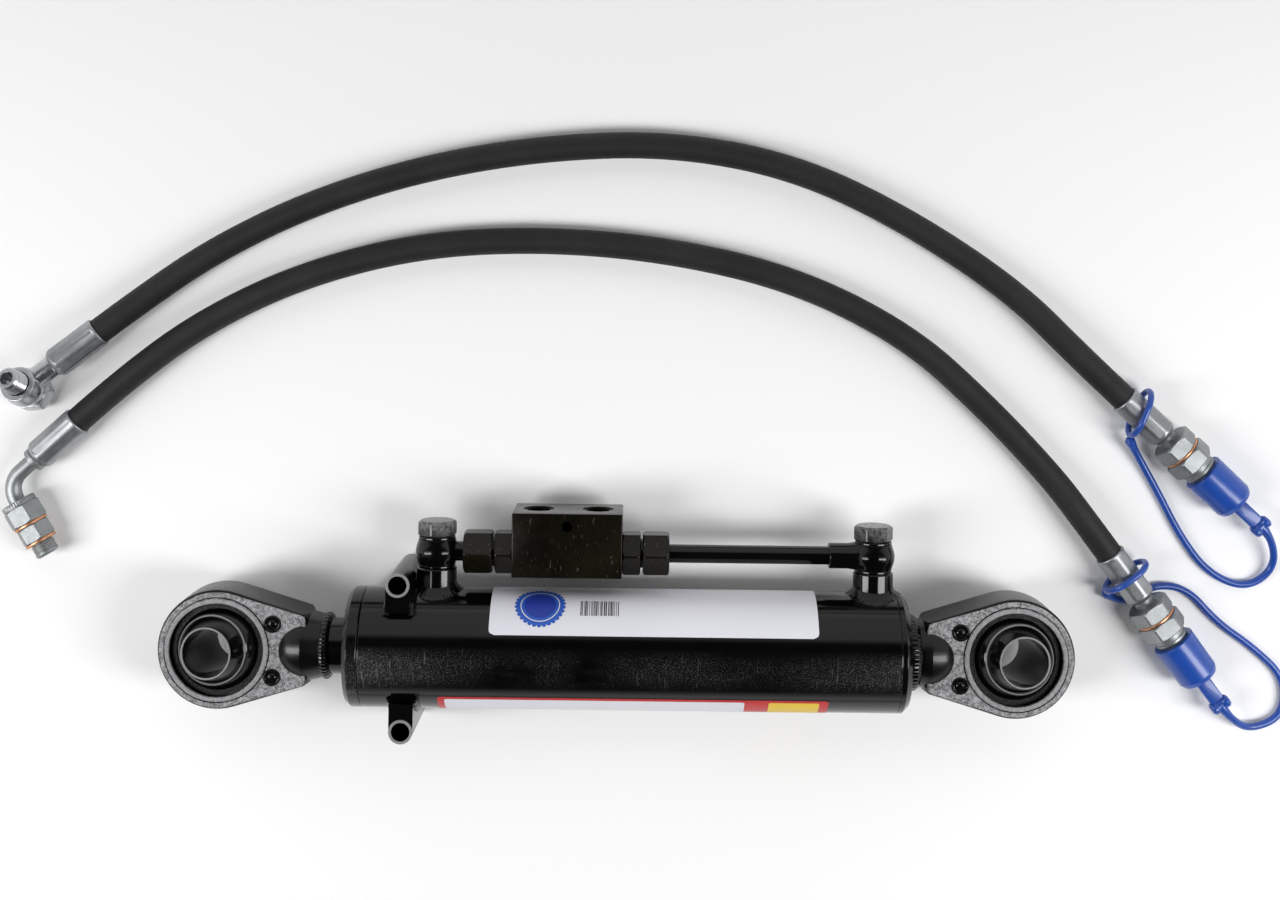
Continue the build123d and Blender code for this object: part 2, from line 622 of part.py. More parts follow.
def check_poppet(side):
    """A cone poppet that rests on its seat, with its nose towards the pilot piston."""
    axis = Plane(origin=(BLOCK_MID_X, LINE_Y, 0), x_dir=(0, 0, 1), z_dir=(side, 0, 0))
    nose = PILOT_LENGTH / 2 + 1.5 + PILOT_GAP
    edge = SEAT_PLACE + SEAT_WALL
    cone = SEAT_RADIUS - SEAT_GAP
    return turned([
        (nose, 0), (nose, PILOT_PIN), (edge - 2, PILOT_PIN), (edge - 0.4, cone - 0.4), (edge, cone),
        (edge + POPPET_RADIUS - cone, POPPET_RADIUS), (edge + POPPET_HEAD, POPPET_RADIUS),
        (edge + POPPET_HEAD, POPPET_STEM), (edge + POPPET_HEAD + 4, POPPET_STEM), (edge + POPPET_HEAD + 4, 0),
    ], axis)


def check_spring(side):
    axis = Plane(origin=(BLOCK_MID_X, LINE_Y, 0), x_dir=(0, 0, 1), z_dir=(side, 0, 0))
    start = SEAT_PLACE + SEAT_WALL + POPPET_HEAD
    end = BLOCK_SIZE[0] / 2 - THREAD_DEPTH + SPRING_POCKET
    return coil(axis, start, end, POPPET_RADIUS - 0.9, SPRING_WIRE)


# Holder sleeves


def holder_axis(name):
    side = 1 if name == "upper" else -1
    return Plane(origin=(HOLDER_X[name], side * HOLDER_REACH, 0))


def holder_sleeve(name):
    half = HOLDER_LENGTH / 2
    return tube(holder_axis(name), -half, half, HOLDER_BORE, HOLDER_RADIUS)


def holder_saddle(name):
    """The shaped lug that carries a holder sleeve on the barrel."""
    side = 1 if name == "upper" else -1
    height = HOLDER_REACH - SADDLE_FOOT
    body = Location((HOLDER_X[name], side * (SADDLE_FOOT + height / 2), 0)) * Box(SADDLE_WIDTH, height, SADDLE_LENGTH)
    body -= bar(ALONG_X, HOLDER_X[name] - 20, HOLDER_X[name] + 20, BARREL_RADIUS)
    if side > 0:
        body -= bar(port_axis(ROD_PORT_X), 0, HOLDER_REACH, BOSS_RADIUS + BOSS_WELD)
    return body - bar(holder_axis(name), -40, 40, HOLDER_RADIUS)


# Hoses


def laid_tube(name, route, radius):
    """A round solid along straight runs joined by arcs as large as the runs allow."""
    points = [Vector(*p) for p in route]
    runs = [b - a for a, b in zip(points, points[1:])]
    radii = []
    for before, after in zip(runs, runs[1:]):
        turn = math.radians(before.get_angle(after))
        radii.append(0.45 * min(before.length, after.length) / math.tan(turn / 2))
    path = FilletPolyline(*points, radius=radii)
    section = Plane(origin=path @ 0, z_dir=path % 0) * Circle(radius)
    solid = sweep(section, path=path)
    section_area = math.pi * radius**2
    print(name, "length", round(path.length, 1), "radii", [round(r) for r in radii])
    print(name, "volume over section times length", round(solid.volume / section_area / path.length, 4))
    return solid


def fitting_axis(origin, ahead):
    """A line along ahead whose local X is level, so that a hexagon on it lies on a flat."""
    ahead = Vector(*ahead).normalized()
    level = ahead.cross(Vector(0, 0, 1)).normalized()
    return Plane(origin=origin, x_dir=level, z_dir=ahead)


def end_axis(route, last):
    """The line on from the first or last run of a hose."""
    if last:
        origin, inner = Vector(*route[-1]), Vector(*route[-2])
    else:
        origin, inner = Vector(*route[0]), Vector(*route[1])
    return fitting_axis(origin, origin - inner)


def ferrule(axis):
    """A crimped ferrule with its nipple's bore."""
    outer = FERRULE_RADIUS
    return turned([
        (0, NIPPLE_BORE), (0, outer - 0.5), (0.6, outer), (FERRULE_LENGTH - 3, outer),
        (FERRULE_LENGTH - 1, outer - 0.9), (FERRULE_LENGTH, outer - 2), (FERRULE_LENGTH, NIPPLE_BORE),
    ], axis)


def coupler_nut(axis):
    """The stepped neck and hexagon that close the hose end."""
    at = COUPLER_STATIONS
    body = bar(axis, at["neck"], at["nut"] + 1, COUPLER_NECK_RADIUS)
    body += hexagon(axis, at["nut"], at["washer"], COUPLER_NUT_FLATS)
    return body - bar(axis, at["neck"] - 1, at["washer"] + 1, NIPPLE_BORE)


def coupler_washer(axis):
    return washer(axis, COUPLER_STATIONS["washer"], NIPPLE_BORE + 2.5, COUPLER_WASHER_RADIUS)


def coupler_tip():
    return COUPLER_STATIONS["nose"] + COUPLER_NOSE_LENGTH


def coupler_body(axis):
    """The plug half of a quick coupler: hexagon, collar and nose, with its valve chamber."""
    at = COUPLER_STATIONS
    tip = coupler_tip()
    body = hexagon(axis, at["body"], at["collar"], COUPLER_BODY_FLATS)
    body += turned([
        (at["collar"] - 1, 0), (at["collar"] - 1, 9.6), (at["collar"] + 1.5, 9.6),
        (at["collar"] + 2, COUPLER_COLLAR_RADIUS), (at["nose"], COUPLER_COLLAR_RADIUS), (at["nose"], 0),
    ], axis)
    body += turned([
        (at["nose"] - 1, 0), (at["nose"] - 1, COUPLER_NOSE_RADIUS), (at["nose"] + 7, COUPLER_NOSE_RADIUS),
        (at["nose"] + 8.2, COUPLER_NOSE_RADIUS - 1.4), (at["nose"] + 9.8, COUPLER_NOSE_RADIUS - 1.4),
        (at["nose"] + 11, COUPLER_NOSE_RADIUS), (tip - 2, COUPLER_NOSE_RADIUS), (tip, COUPLER_NOSE_RADIUS - 1.8),
        (tip, 0),
    ], axis)
    body -= bar(axis, at["body"] - 1, at["nose"], NIPPLE_BORE)
    body -= bar(axis, at["nose"] - 1, tip - COUPLER_SEAT_WALL, COUPLER_CHAMBER_RADIUS)
    return body - bar(axis, at["nose"], tip + 1, COUPLER_SEAT_RADIUS)


def coupler_poppet(axis):
    """The spring-loaded valve that shuts the coupler's nose."""
    tip = coupler_tip()
    seat = tip - COUPLER_SEAT_WALL - SEAT_GAP
    head = COUPLER_CHAMBER_RADIUS - 0.3
    return turned([
        (tip, 0), (tip, 2.2), (seat + 0.2, 2.2), (seat, COUPLER_SEAT_RADIUS - 0.2), (seat - 1.5, head),
        (seat - 4, head), (seat - 4, 2.4), (seat - 9, 2.4), (seat - 9, 0),
    ], axis)


def coupler_spring(axis):
    start = COUPLER_STATIONS["nose"] - 1
    end = coupler_tip() - COUPLER_SEAT_WALL - SEAT_GAP - 4
    return coil(axis, start, end, COUPLER_CHAMBER_RADIUS - 1.6, SPRING_WIRE)


def dust_cap(axis):
    """The soft cap over the coupler's nose, with the tab that its strap hangs on."""
    start = COUPLER_STATIONS["nose"] + 0.3
    end = start + CAP_LENGTH
    tab_length, tab_width, tab_thick = CAP_TAB
    body = turned([
        (start, COUPLER_NOSE_RADIUS + SEAT_GAP), (start, CAP_RADIUS), (end - 3, CAP_RADIUS),
        (end, CAP_RADIUS - 3), (end, 0), (end - CAP_WALL, 0), (end - CAP_WALL, COUPLER_NOSE_RADIUS + SEAT_GAP),
    ], axis)
    tab = Location((0, 0, end + tab_length / 2 - 1)) * Box(tab_width, tab_thick, tab_length + 2)
    knob = Location((0, 0, end + tab_length + KNUCKLE_RADIUS - 2)) * Rot(X=90)
    knob = knob * Cylinder(KNUCKLE_RADIUS, KNUCKLE_THICKNESS)
    return body + axis.location * (tab + fillet(knob.edges().filter_by(GeomType.CIRCLE), 2))


def strap_loop(name, axis):
    """The loop of a strap round the ferrule, set across it at an angle."""
    half_wide, half_high = LOOP_HALF
    shape = SlotOverall(2 * half_wide, 2 * half_high)
    path = shape.wire()
    section = Plane(origin=path @ 0, z_dir=path % 0) * Circle(LOOP_RADIUS)
    loop = sweep(section, path=path)
    place = axis.location * Location((0, 0, LOOP_STATIONS[name])) * Rot(Y=LOOP_TURNS[name])
    return place * loop


def elbow_axis():
    """The line of the lower hose's elbow after its bend, from the bend's corner."""
    start = end_axis(LOWER_ROUTE, False)
    corner = start.origin + start.z_dir * (FERRULE_LENGTH + ELBOW_CORNER)
    ahead = start.z_dir.rotate(Axis.Z, ELBOW_TURN)
    return fitting_axis(corner, ahead)


def elbow_tube():
    """The bent tube with its collar against the ferrule."""
    start = end_axis(LOWER_ROUTE, False)
    onward = elbow_axis()
    length, radius = ELBOW_COLLAR
    first = start.origin + start.z_dir * FERRULE_LENGTH
    stop = onward.origin + onward.z_dir * (ELBOW_NUT_START + ELBOW_NUT_RIBBED)
    path = FilletPolyline(first, onward.origin, stop, radius=ELBOW_BEND_RADIUS)
    section = Plane(origin=path @ 0, z_dir=path % 0)
    body = sweep(section * Circle(ELBOW_TUBE_RADIUS), path=path)
    body += bar(start, FERRULE_LENGTH, FERRULE_LENGTH + length, radius)
    return body - sweep(section * Circle(NIPPLE_BORE - 0.5), path=path)


def elbow_stations():
    nut = ELBOW_NUT_START
    first = nut + ELBOW_NUT_RIBBED + ELBOW_NUT_HEX
    adapter = first + WASHER_THICKNESS
    second = adapter + ELBOW_ADAPTER_HEX
    nozzle = second + WASHER_THICKNESS
    return nut, first, adapter, second, nozzle


def elbow_nut():
    nut, first, *_ = elbow_stations()
    axis = elbow_axis()
    ribbed = nut + ELBOW_NUT_RIBBED
    body = bar(axis, nut, ribbed + 1, ELBOW_NUT_FLATS / 2)
    body += hexagon(axis, ribbed, first, ELBOW_NUT_FLATS)
    body -= bar(axis, nut - 1, ribbed, ELBOW_TUBE_RADIUS + SEAT_GAP)
    return body - bar(axis, ribbed, first + 1, ELBOW_TUBE_RADIUS + 1.5)


def elbow_washers():
    _, first, _, second, _ = elbow_stations()
    axis = elbow_axis()
    outer = ELBOW_NUT_FLATS / 2
    return [washer(axis, first, ELBOW_TUBE_RADIUS + 1.6, outer), washer(axis, second, NOZZLE_RADIUS + 0.1, outer - 0.6)]


def elbow_adapter():
    """The double-ended adapter: spigot, hexagon and threaded nozzle with a coned mouth."""
    _, first, adapter, second, nozzle = elbow_stations()
    axis = elbow_axis()
    thread = nozzle + THREAD_RELIEF
    tip = nozzle + NOZZLE_LENGTH
    body = hexagon(axis, adapter, second, ELBOW_ADAPTER_FLATS, 0.6)
    body += bar(axis, second - 1, thread, NOZZLE_RADIUS - WAIST_DEPTH)
    body += bar(axis, thread, tip - 1, NOZZLE_RADIUS)
    body += turned([(tip - 1, 0), (tip - 1, NOZZLE_RADIUS), (tip, NOZZLE_RADIUS - 1), (tip, 0)], axis)
    body += bar(axis, first - ELBOW_NUT_HEX + 0.5, adapter + 1, ELBOW_TUBE_RADIUS + 1.4)
    body -= bar(axis, first - ELBOW_NUT_HEX, tip + 1, NIPPLE_BORE - 0.5)
    return body - turned([(tip - 4, 0), (tip - 4, NIPPLE_BORE - 0.5), (tip + 0.5, 5.4), (tip + 0.5, 0)], axis)


def hose_banjo_axis():
    """The line of the hollow bolt at the upper hose's end, through the ring's middle."""
    start = end_axis(UPPER_ROUTE, False)
    middle = start.origin + start.z_dir * (FERRULE_LENGTH + HOSE_BANJO_REACH)
    side = start.z_dir.cross(Vector(0, 0, 1)).normalized()
    upright = side.cross(start.z_dir)
    lean = math.radians(HOSE_BANJO_LEAN)
    return Plane(origin=middle, x_dir=start.z_dir, z_dir=upright * math.cos(lean) + side * math.sin(lean))


def hose_banjo():
    axis = hose_banjo_axis()
    start = end_axis(UPPER_ROUTE, False)
    half = HOSE_BANJO_HEIGHT / 2
    body = banjo_ring(axis, -half, HOSE_BANJO_HEIGHT, HOSE_BANJO_RADIUS, HOSE_BANJO_RADIUS - 1.4)
    reach = FERRULE_LENGTH + HOSE_BANJO_REACH
    body += bar(start, FERRULE_LENGTH, reach, HOSE_BANJO_NECK)
    body -= bar(start, FERRULE_LENGTH - 1, reach, NIPPLE_BORE)
    return body - bar(axis, -half - 1, half + 1, PORT_THREAD_RADIUS + 0.6)


def hose_bolt():
    axis = hose_banjo_axis()
    half = HOSE_BANJO_HEIGHT / 2
    head = -half - WASHER_THICKNESS
    thread = half + WASHER_THICKNESS + THREAD_RELIEF
    tip = half + WASHER_THICKNESS + HOSE_BOLT_LENGTH
    shank = PORT_THREAD_RADIUS - SEAT_GAP
    waist = shank - WAIST_DEPTH
    body = hexagon(axis, head - HOSE_BOLT_HEAD, head, BOLT_FLATS, 1.0, 24)
    # The shank is waisted inside the ring, so that oil can flow round it
    body += turned([
        (head - 1, 0), (head - 1, shank), (head + 2.5, shank), (head + 3.5, waist), (thread, waist),
        (thread, shank), (tip - 1.4, shank), (tip, shank - 1.4), (tip, 0),
    ], axis)
    return body - bar(axis, -4, tip + 1, 3.6)


def hose_banjo_washers():
    axis = hose_banjo_axis()
    half = HOSE_BANJO_HEIGHT / 2
    outer = HOSE_BANJO_RADIUS - 1.2
    return [washer(axis, start, PORT_THREAD_RADIUS + 0.1, outer) for start in (-half - WASHER_THICKNESS, half)]


def link_nodes():
    rod_eye = Location((ROD_EYE_X, 0, 0))
    base_eye = Rot(Z=180)
    forging = eye()
    return {
        "barrel_tube": barrel_tube(),
        "base_cap": base_cap(),
        "base_eye": base_eye * forging,
        "base_weld": base_eye * (base_weld() - forging),
        "base_ball": ball("base_ball"),
        "gland_head": gland_head(),
        "rod_seal": rod_seal(),
        "wiper_ring": wiper_ring(),
        "gland_ring": gland_ring(),
        "piston": piston(),
        "piston_seal": piston_seal(),
        "piston_guide_rings": piston_guide_rings(),
        "piston_nut": piston_nut(),
        "piston_rod": piston_rod(),
        "rod_eye": rod_eye * forging,
        "rod_weld": rod_eye * (eye_weld(2.5) - forging),
        "rod_ball": rod_eye * ball("rod_ball"),
        "rod_port_boss": port_boss(ROD_PORT_X),
        "base_port_boss": port_boss(BASE_PORT_X),
        "rod_side_banjo": rod_side_banjo(),
        "base_side_banjo": base_side_banjo(),
        "banjo_bolts": banjo_bolts(),
        "port_washers": port_washers(),
        "rod_side_adapter": block_adapter(-1),
        "base_side_adapter": block_adapter(1),
        "rod_side_union_nut": union_nut(-1, ROD_LINE_NUT, LINE_RADIUS + 0.4),
        "base_side_union_nut": union_nut(1, BASE_LINE_NUT, LINE_RADIUS),
        "cross_pipe": cross_pipe(),
        "valve_block": valve_block(),
        "pilot_piston": pilot_piston(),
        "rod_side_check_poppet": check_poppet(-1),
        "base_side_check_poppet": check_poppet(1),
        "rod_side_check_spring": check_spring(-1),
        "base_side_check_spring": check_spring(1),
        "upper_holder_sleeve": holder_sleeve("upper"),
        "lower_holder_sleeve": holder_sleeve("lower"),
        "holder_saddles": Compound(children=[holder_saddle("upper"), holder_saddle("lower")]),
    }


def hose_nodes(name, route, strap):
    """The pieces that both hoses have, at their coupler end and on their middle."""
    axis = end_axis(route, True)
    return {
        f"{name}_hose": laid_tube(f"{name}_hose", route, HOSE_RADIUS),
        f"{name}_coupler_body": coupler_body(axis),
        f"{name}_coupler_poppet": coupler_poppet(axis),
        f"{name}_coupler_spring": coupler_spring(axis),
        f"{name}_dust_cap": dust_cap(axis),
        f"{name}_strap": laid_tube(f"{name}_strap", strap, STRAP_RADIUS),
        f"{name}_strap_loop": strap_loop(name, axis),
    }


def end_nodes():
    """The pieces that the hoses share, and those of the elbow and the banjo at their far ends."""
    routes = (UPPER_ROUTE, LOWER_ROUTE)
    couplers = [end_axis(route, True) for route in routes]
    hose_ends = couplers + [end_axis(route, False) for route in routes]
    rings = [coupler_washer(axis) for axis in couplers] + elbow_washers() + hose_banjo_washers()
    return {
        "hose_ferrules": Compound(children=[ferrule(axis) for axis in hose_ends]),
        "coupler_nuts": Compound(children=[coupler_nut(axis) for axis in couplers]),
        "hose_washers": Compound(children=rings),
        "lower_elbow_tube": elbow_tube(),
        "lower_elbow_nut": elbow_nut(),
        "lower_elbow_adapter": elbow_adapter(),
        "upper_hose_banjo": hose_banjo(),
        "upper_hose_bolt": hose_bolt(),
    }


nodes = link_nodes()
nodes.update(hose_nodes("upper", UPPER_ROUTE, UPPER_STRAP))
nodes.update(hose_nodes("lower", LOWER_ROUTE, LOWER_STRAP))
nodes.update(end_nodes())

os.makedirs("parts", exist_ok=True)
for node, solid in nodes.items():
    export_step(solid, f"parts/{node}.step")
print(len(nodes), "nodes, rod eye at", ROD_EYE_X)
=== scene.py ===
# %% [markdown]
# # A hydraulic top link on a pale table
# A top link is the upper arm of a tractor's three-point hitch. This one is a hydraulic cylinder
# with a forged ball eye at each end, a check valve on its back and two hoses that lie beside it.
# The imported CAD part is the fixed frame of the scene. It could be dressed as it is, but its meshes
# look coarse near a camera, so most pieces get a finer mesh that stands in for them, and those
# inside keep their CAD mesh and get a material.

# %% Load the frame
import math
import random

import bmesh
import bpy
from mathutils import Matrix, Vector


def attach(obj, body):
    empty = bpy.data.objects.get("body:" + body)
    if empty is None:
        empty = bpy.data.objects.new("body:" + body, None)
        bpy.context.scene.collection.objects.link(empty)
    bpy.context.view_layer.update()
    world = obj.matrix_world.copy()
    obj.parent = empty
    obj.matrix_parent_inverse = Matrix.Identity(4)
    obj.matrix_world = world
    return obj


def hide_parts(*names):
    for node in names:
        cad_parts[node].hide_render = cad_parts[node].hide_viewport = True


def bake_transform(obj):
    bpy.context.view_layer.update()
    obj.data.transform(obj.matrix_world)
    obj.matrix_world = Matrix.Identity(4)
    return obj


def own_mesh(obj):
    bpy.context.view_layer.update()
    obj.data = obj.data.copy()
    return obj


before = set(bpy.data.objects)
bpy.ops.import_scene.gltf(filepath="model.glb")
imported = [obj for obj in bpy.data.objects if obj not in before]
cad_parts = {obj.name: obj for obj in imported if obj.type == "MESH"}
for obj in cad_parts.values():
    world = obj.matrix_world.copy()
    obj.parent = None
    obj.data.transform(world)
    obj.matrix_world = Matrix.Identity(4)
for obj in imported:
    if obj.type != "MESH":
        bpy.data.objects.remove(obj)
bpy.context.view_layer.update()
random.seed(7)

# %% [markdown]
# ## Camera
# The photograph was taken straight down from a point over the hoses, which is why each eye shows
# the wall on its upper side. The camera could be turned towards the link to frame it, but then
# upright pieces would lean together. A lens shift moves only the frame and leaves the view as it
# is, so the shift does the framing.

# %% Camera
PHOTO_WIDTH = 1280
PHOTO_TURN = math.radians(0.72)
PIXELS_SHIFTED = 205
LENS, SENSOR = 45, 36
CAMERA_PLACE = (-0.206, 0.2232, 0.884)

camera_data = bpy.data.cameras.new("camera")
camera_data.lens = LENS
camera_data.sensor_width = SENSOR
camera_data.shift_x = -PIXELS_SHIFTED * math.sin(PHOTO_TURN) / PHOTO_WIDTH
camera_data.shift_y = -PIXELS_SHIFTED * math.cos(PHOTO_TURN) / PHOTO_WIDTH
camera = bpy.data.objects.new("camera", camera_data)
camera.location = CAMERA_PLACE
camera.rotation_euler = (0, 0, PHOTO_TURN)
bpy.context.scene.collection.objects.link(camera)
bpy.context.scene.camera = camera
print("camera shift", round(camera_data.shift_x, 4), round(camera_data.shift_y, 4))

# %% [markdown]
# ## Colour and view settings
# Blender can map the light of a scene to the picture in several ways. The filmic ones soften bright
# places, and would turn a white label grey. The Standard view shows a colour as it is written, so
# the label stays white and the paint black.

# %% View settings
scene = bpy.context.scene
scene.render.engine = "CYCLES"
scene.view_settings.view_transform = "Standard"
scene.render.film_transparent = False
print("view transform", scene.view_settings.view_transform)

# %% [markdown]
# ## Sockets that read like arithmetic
# Every finish below is a net of nodes. Links can be drawn by hand or written out one at a time,
# which hides what is worked out. `Value` wraps an output socket and overloads the operators, so
# that a sum of two noises is written as a sum and adds its own Math node.


# %% Socket arithmetic
class Value:
    def __init__(self, shader, socket):
        self.shader = shader
        self.socket = socket

    def math(self, operation, *others):
        return self.shader.node("Math", {"operation": operation}, dict(enumerate((self, *others))))

    def __add__(self, other):
        return self.math("ADD", other)

    def __sub__(self, other):
        return self.math("SUBTRACT", other)

    def __mul__(self, other):
        return self.math("MULTIPLY", other)

    def __radd__(self, other):
        return self.math("ADD", other)

    def __rmul__(self, other):
        return self.math("MULTIPLY", other)

    def __rsub__(self, other):
        return (self * -1.0) + other

    def span(self, low, high, to_low=0.0, to_high=1.0):
        """This value from low to high, as a value from to_low to to_high."""
        names = {"Value": self, "From Min": low, "From Max": high, "To Min": to_low, "To Max": to_high}
        return self.shader.node("MapRange", {"clamp": True}, names)


print("sockets can be added, taken away, multiplied and spanned")

# %% [markdown]
# ## The nodes of one tree
# Each kind of node has its own settings and sockets, and a function for each kind would be a long
# list. One method is enough: it takes the node's type, sets its settings first and then puts a
# number, a colour or a link on each socket.


# %% Nodes of one tree
class Nodes:
    def __init__(self, tree):
        self.tree = tree

    def join(self, socket, value):
        if isinstance(value, Value):
            self.tree.links.new(value.socket, socket)
        elif isinstance(value, tuple) and len(value) == 3 and socket.type == "RGBA":
            socket.default_value = (*value, 1)
        else:
            socket.default_value = value

    def node(self, kind, settings=None, sockets=None, output=0):
        made = self.tree.nodes.new("ShaderNode" + kind)
        for name, value in (settings or {}).items():
            setattr(made, name, value)
        for name, value in (sockets or {}).items():
            self.join(made.inputs[name], value)
        return Value(self, made.outputs[output])


print("node trees ready")

# %% [markdown]
# ## One material
# `Shader` is the tree of one material round its main shader. The finishes here need few tools:
# noise in the object's own coordinates, a mix of two colours, and a bump. Object coordinates are
# used because they need no unwrapping and stay with a piece when it moves.


# %% One material
class Shader(Nodes):
    def __init__(self, name, **looks):
        self.material = bpy.data.materials.new(name)
        self.material.use_nodes = True
        super().__init__(self.material.node_tree)
        self.bsdf = self.tree.nodes["Principled BSDF"]
        for socket, value in looks.items():
            self.set(socket.replace("_", " "), value)

    def set(self, name, value):
        """Put a number, a colour or a Value on a socket of the main shader."""
        self.join(self.bsdf.inputs[name], value)
        return self

    def place(self):
        """The point in the object's own coordinates, in metres."""
        return self.node("TexCoord", output="Object")

    def noise(self, scale, detail=4.0, roughness=0.55, stretch=(1, 1, 1)):
        point = self.node("VectorMath", {"operation": "MULTIPLY"}, {0: self.place(), 1: stretch})
        sockets = {"Vector": point, "Scale": scale, "Detail": detail, "Roughness": roughness}
        return self.node("TexNoise", None, sockets, output="Fac")

    def mix(self, factor, a, b):
        """Colour a where factor is 0 and colour b where it is 1."""
        made = self.tree.nodes.new("ShaderNodeMix")
        made.data_type = "RGBA"
        self.join(made.inputs[0], factor)
        self.join(made.inputs[6], a)
        self.join(made.inputs[7], b)
        return Value(self, made.outputs[2])

    def bump(self, height, strength, distance):
        sockets = {"Height": height, "Strength": strength, "Distance": distance}
        self.set("Normal", self.node("Bump", None, sockets, output="Normal"))
        return self


print("shaders ready")

# %% [markdown]
# ## Black enamel
# The link is sprayed with glossy black enamel, which is smooth on turned steel and rougher on the
# castings. A plain black with a low roughness would do from far off, but near by it looks like
# plastic. Noise in the roughness and a weak bump break the reflections up, as the orange peel of
# real paint does.

# %% Enamel
BLACK = (0.0014, 0.0014, 0.0017)


def paint_shader(name, base, roughness, pits):
    """Black enamel. pits is how rough the metal under it is, from 0 for turned steel to 1 for a forging."""
    paint = Shader(name, Coat_Weight=0.12, Coat_Roughness=0.05, Specular_IOR_Level=0.32)
    cloud = paint.noise(30, 5, 0.6, (0.5, 1, 1))
    fine = paint.noise(620, 5, 0.65)
    paint.set("Base Color", paint.mix(cloud.span(0.35, 0.7), base, tuple(1.6 * c for c in base)))
    peel = paint.noise(60, 4).span(0.3, 0.8, roughness - 0.03, roughness + 0.07)
    paint.set("Roughness", peel + fine * 0.05)
    return paint.bump(fine * (0.25 + 0.75 * pits) + cloud * 0.2, 0.1 + 0.5 * pits, 0.0001 + 0.0004 * pits)


black_paint = paint_shader("black_paint", BLACK, 0.1, 0.0)
neck_paint = paint_shader("cast_neck_paint", BLACK, 0.26, 0.5)
print("enamels", black_paint.material.name, neck_paint.material.name)

# %% [markdown]
# ## Rubbed enamel
# Handling has left dust and fine scratches on the barrel, most of it near its two ends, and has
# rubbed the bolt heads grey. The marks could be painted on an unwrapped image. Here a band between
# two heights says where they are and stretched noise draws them, so that nothing has to be painted
# and the band can be moved by two numbers.


# %% Rubbed enamel
def scuffed_paint(name, low, high, strength, ends=None, bare=0.0):
    """Enamel with rubbed dust and scratches on a band between two heights, in metres.

    ends are two places along X beyond which the dust is thickest; bare is how grey the band is all over."""
    paint = Shader(name, Coat_Weight=0.12, Coat_Roughness=0.05, Specular_IOR_Level=0.32)
    height = paint.node("SeparateXYZ", None, {"Vector": paint.place()}, output="Y")
    along = paint.node("SeparateXYZ", None, {"Vector": paint.place()}, output="X")
    edge = 0.35 * (high - low)
    band = height.span(low, low + edge) * height.span(high, high - edge)
    specks = paint.noise(2300, 2, 0.5).span(0.56, 0.72)
    streaks = paint.noise(700, 3, 0.6, (1, 0.07, 0.3)).span(0.62, 0.76)
    patches = paint.noise(24, 4, 0.6, (0.6, 1, 1)).span(0.4, 0.62)
    if ends:
        near_gland = along.span(ends[0] + 0.07, ends[0])
        near_cap = along.span(ends[1] - 0.06, ends[1]) * 0.6
        patches = patches * 0.35 + near_gland + near_cap
    rubbed = paint.noise(380, 5, 0.7).span(0.4, 0.62, 0.25, 1.4) * bare
    dust = band * (patches * (specks * 0.8 + streaks * 0.5 + 0.05) + rubbed) * strength
    paint.set("Base Color", paint.mix(dust, BLACK, (0.3, 0.3, 0.31)))
    paint.set("Roughness", dust * 0.5 + paint.noise(60, 4).span(0.3, 0.8, 0.1, 0.18))
    return paint.bump(paint.noise(900, 4) + dust * 0.6, 0.1, 0.00012)


barrel_paint = scuffed_paint("scuffed_barrel_paint", -0.017, 0.008, 0.95, (-0.35, -0.07))
dusty_paint = scuffed_paint("dusty_gland_paint", -0.03, 0.012, 0.9)
bolt_paint = scuffed_paint("rubbed_bolt_paint", 0.0605, 0.085, 1.0, bare=0.42)
print("rubbed enamels", barrel_paint.material.name, dusty_paint.material.name, bolt_paint.material.name)

# %% [markdown]
# ## Faces with a painted sheen
# The flat faces of the eyes, their turned lips and the ends of the sleeves catch the light and shine
# grey, while the pits of the forging stay black. That sheen is painted here: a grey base colour
# stands in for the reflection. A second material on those faces would end in a hard edge. A mask
# from the height over the middle plane finds the faces by itself, and lumpy noise keeps the painted
# sheen off the pits, so they stay black.


# %% Faces with painted sheen
def painted_sheen_faces(name, height, sheen_grey, pits):
    """Black enamel with a painted sheen, a grey base colour, on the flat faces that lie beyond a height, in
    metres.
    """
    paint = Shader(name, Coat_Roughness=0.05, Specular_IOR_Level=0.22)
    depth = paint.node("SeparateXYZ", None, {"Vector": paint.place()}, output="Z").math("ABSOLUTE")
    face = depth.span(height - 0.0002, height)
    grain = paint.noise(1500, 3, 0.7)
    lumps = paint.noise(480, 5, 0.75)
    # Painted sheen: on the faces a grey base colour stands in for reflected light, and it is kept off the pits.
    painted_sheen = face * (lumps * 0.5 + grain * 0.5).span(0.43, 0.58, 1.0 - 0.85 * pits, 1.0)
    paint.set("Base Color", paint.mix(painted_sheen, BLACK, (sheen_grey, sheen_grey, sheen_grey * 1.03)))
    paint.set("Roughness", face * 0.22 + grain * 0.1 + 0.16)
    return paint.bump(lumps * 0.7 + grain * 0.3, 0.15 + 0.6 * pits, 0.0002 + 0.0004 * pits)


# Each of these four materials carries a painted sheen in its grey.
forged = painted_sheen_faces("forged_black_paint", 0.0137, 0.44, 1.0)
eye_lip_paint = painted_sheen_faces("turned_eye_lip_paint", 0.0, 0.34, 0.45)
sleeve_paint = painted_sheen_faces("cut_sleeve_paint", 0.0273, 0.26, 0.3)
lip_paint = painted_sheen_faces("turned_lip_paint", 0.0, 0.24, 0.3)
print("worn faces", forged.material.name, eye_lip_paint.material.name, sleeve_paint.material.name)

# %% [markdown]
# ## Bare and plated metals
# The hose fittings are zinc plated, the rod is hard chrome, the washers are copper, and the pieces
# inside are bright steel. Each could have its own net of nodes, but they differ only in colour,
# roughness and grain. So one function makes them all, with a cloudy colour and a streaky roughness
# that also lifts the surface a little.


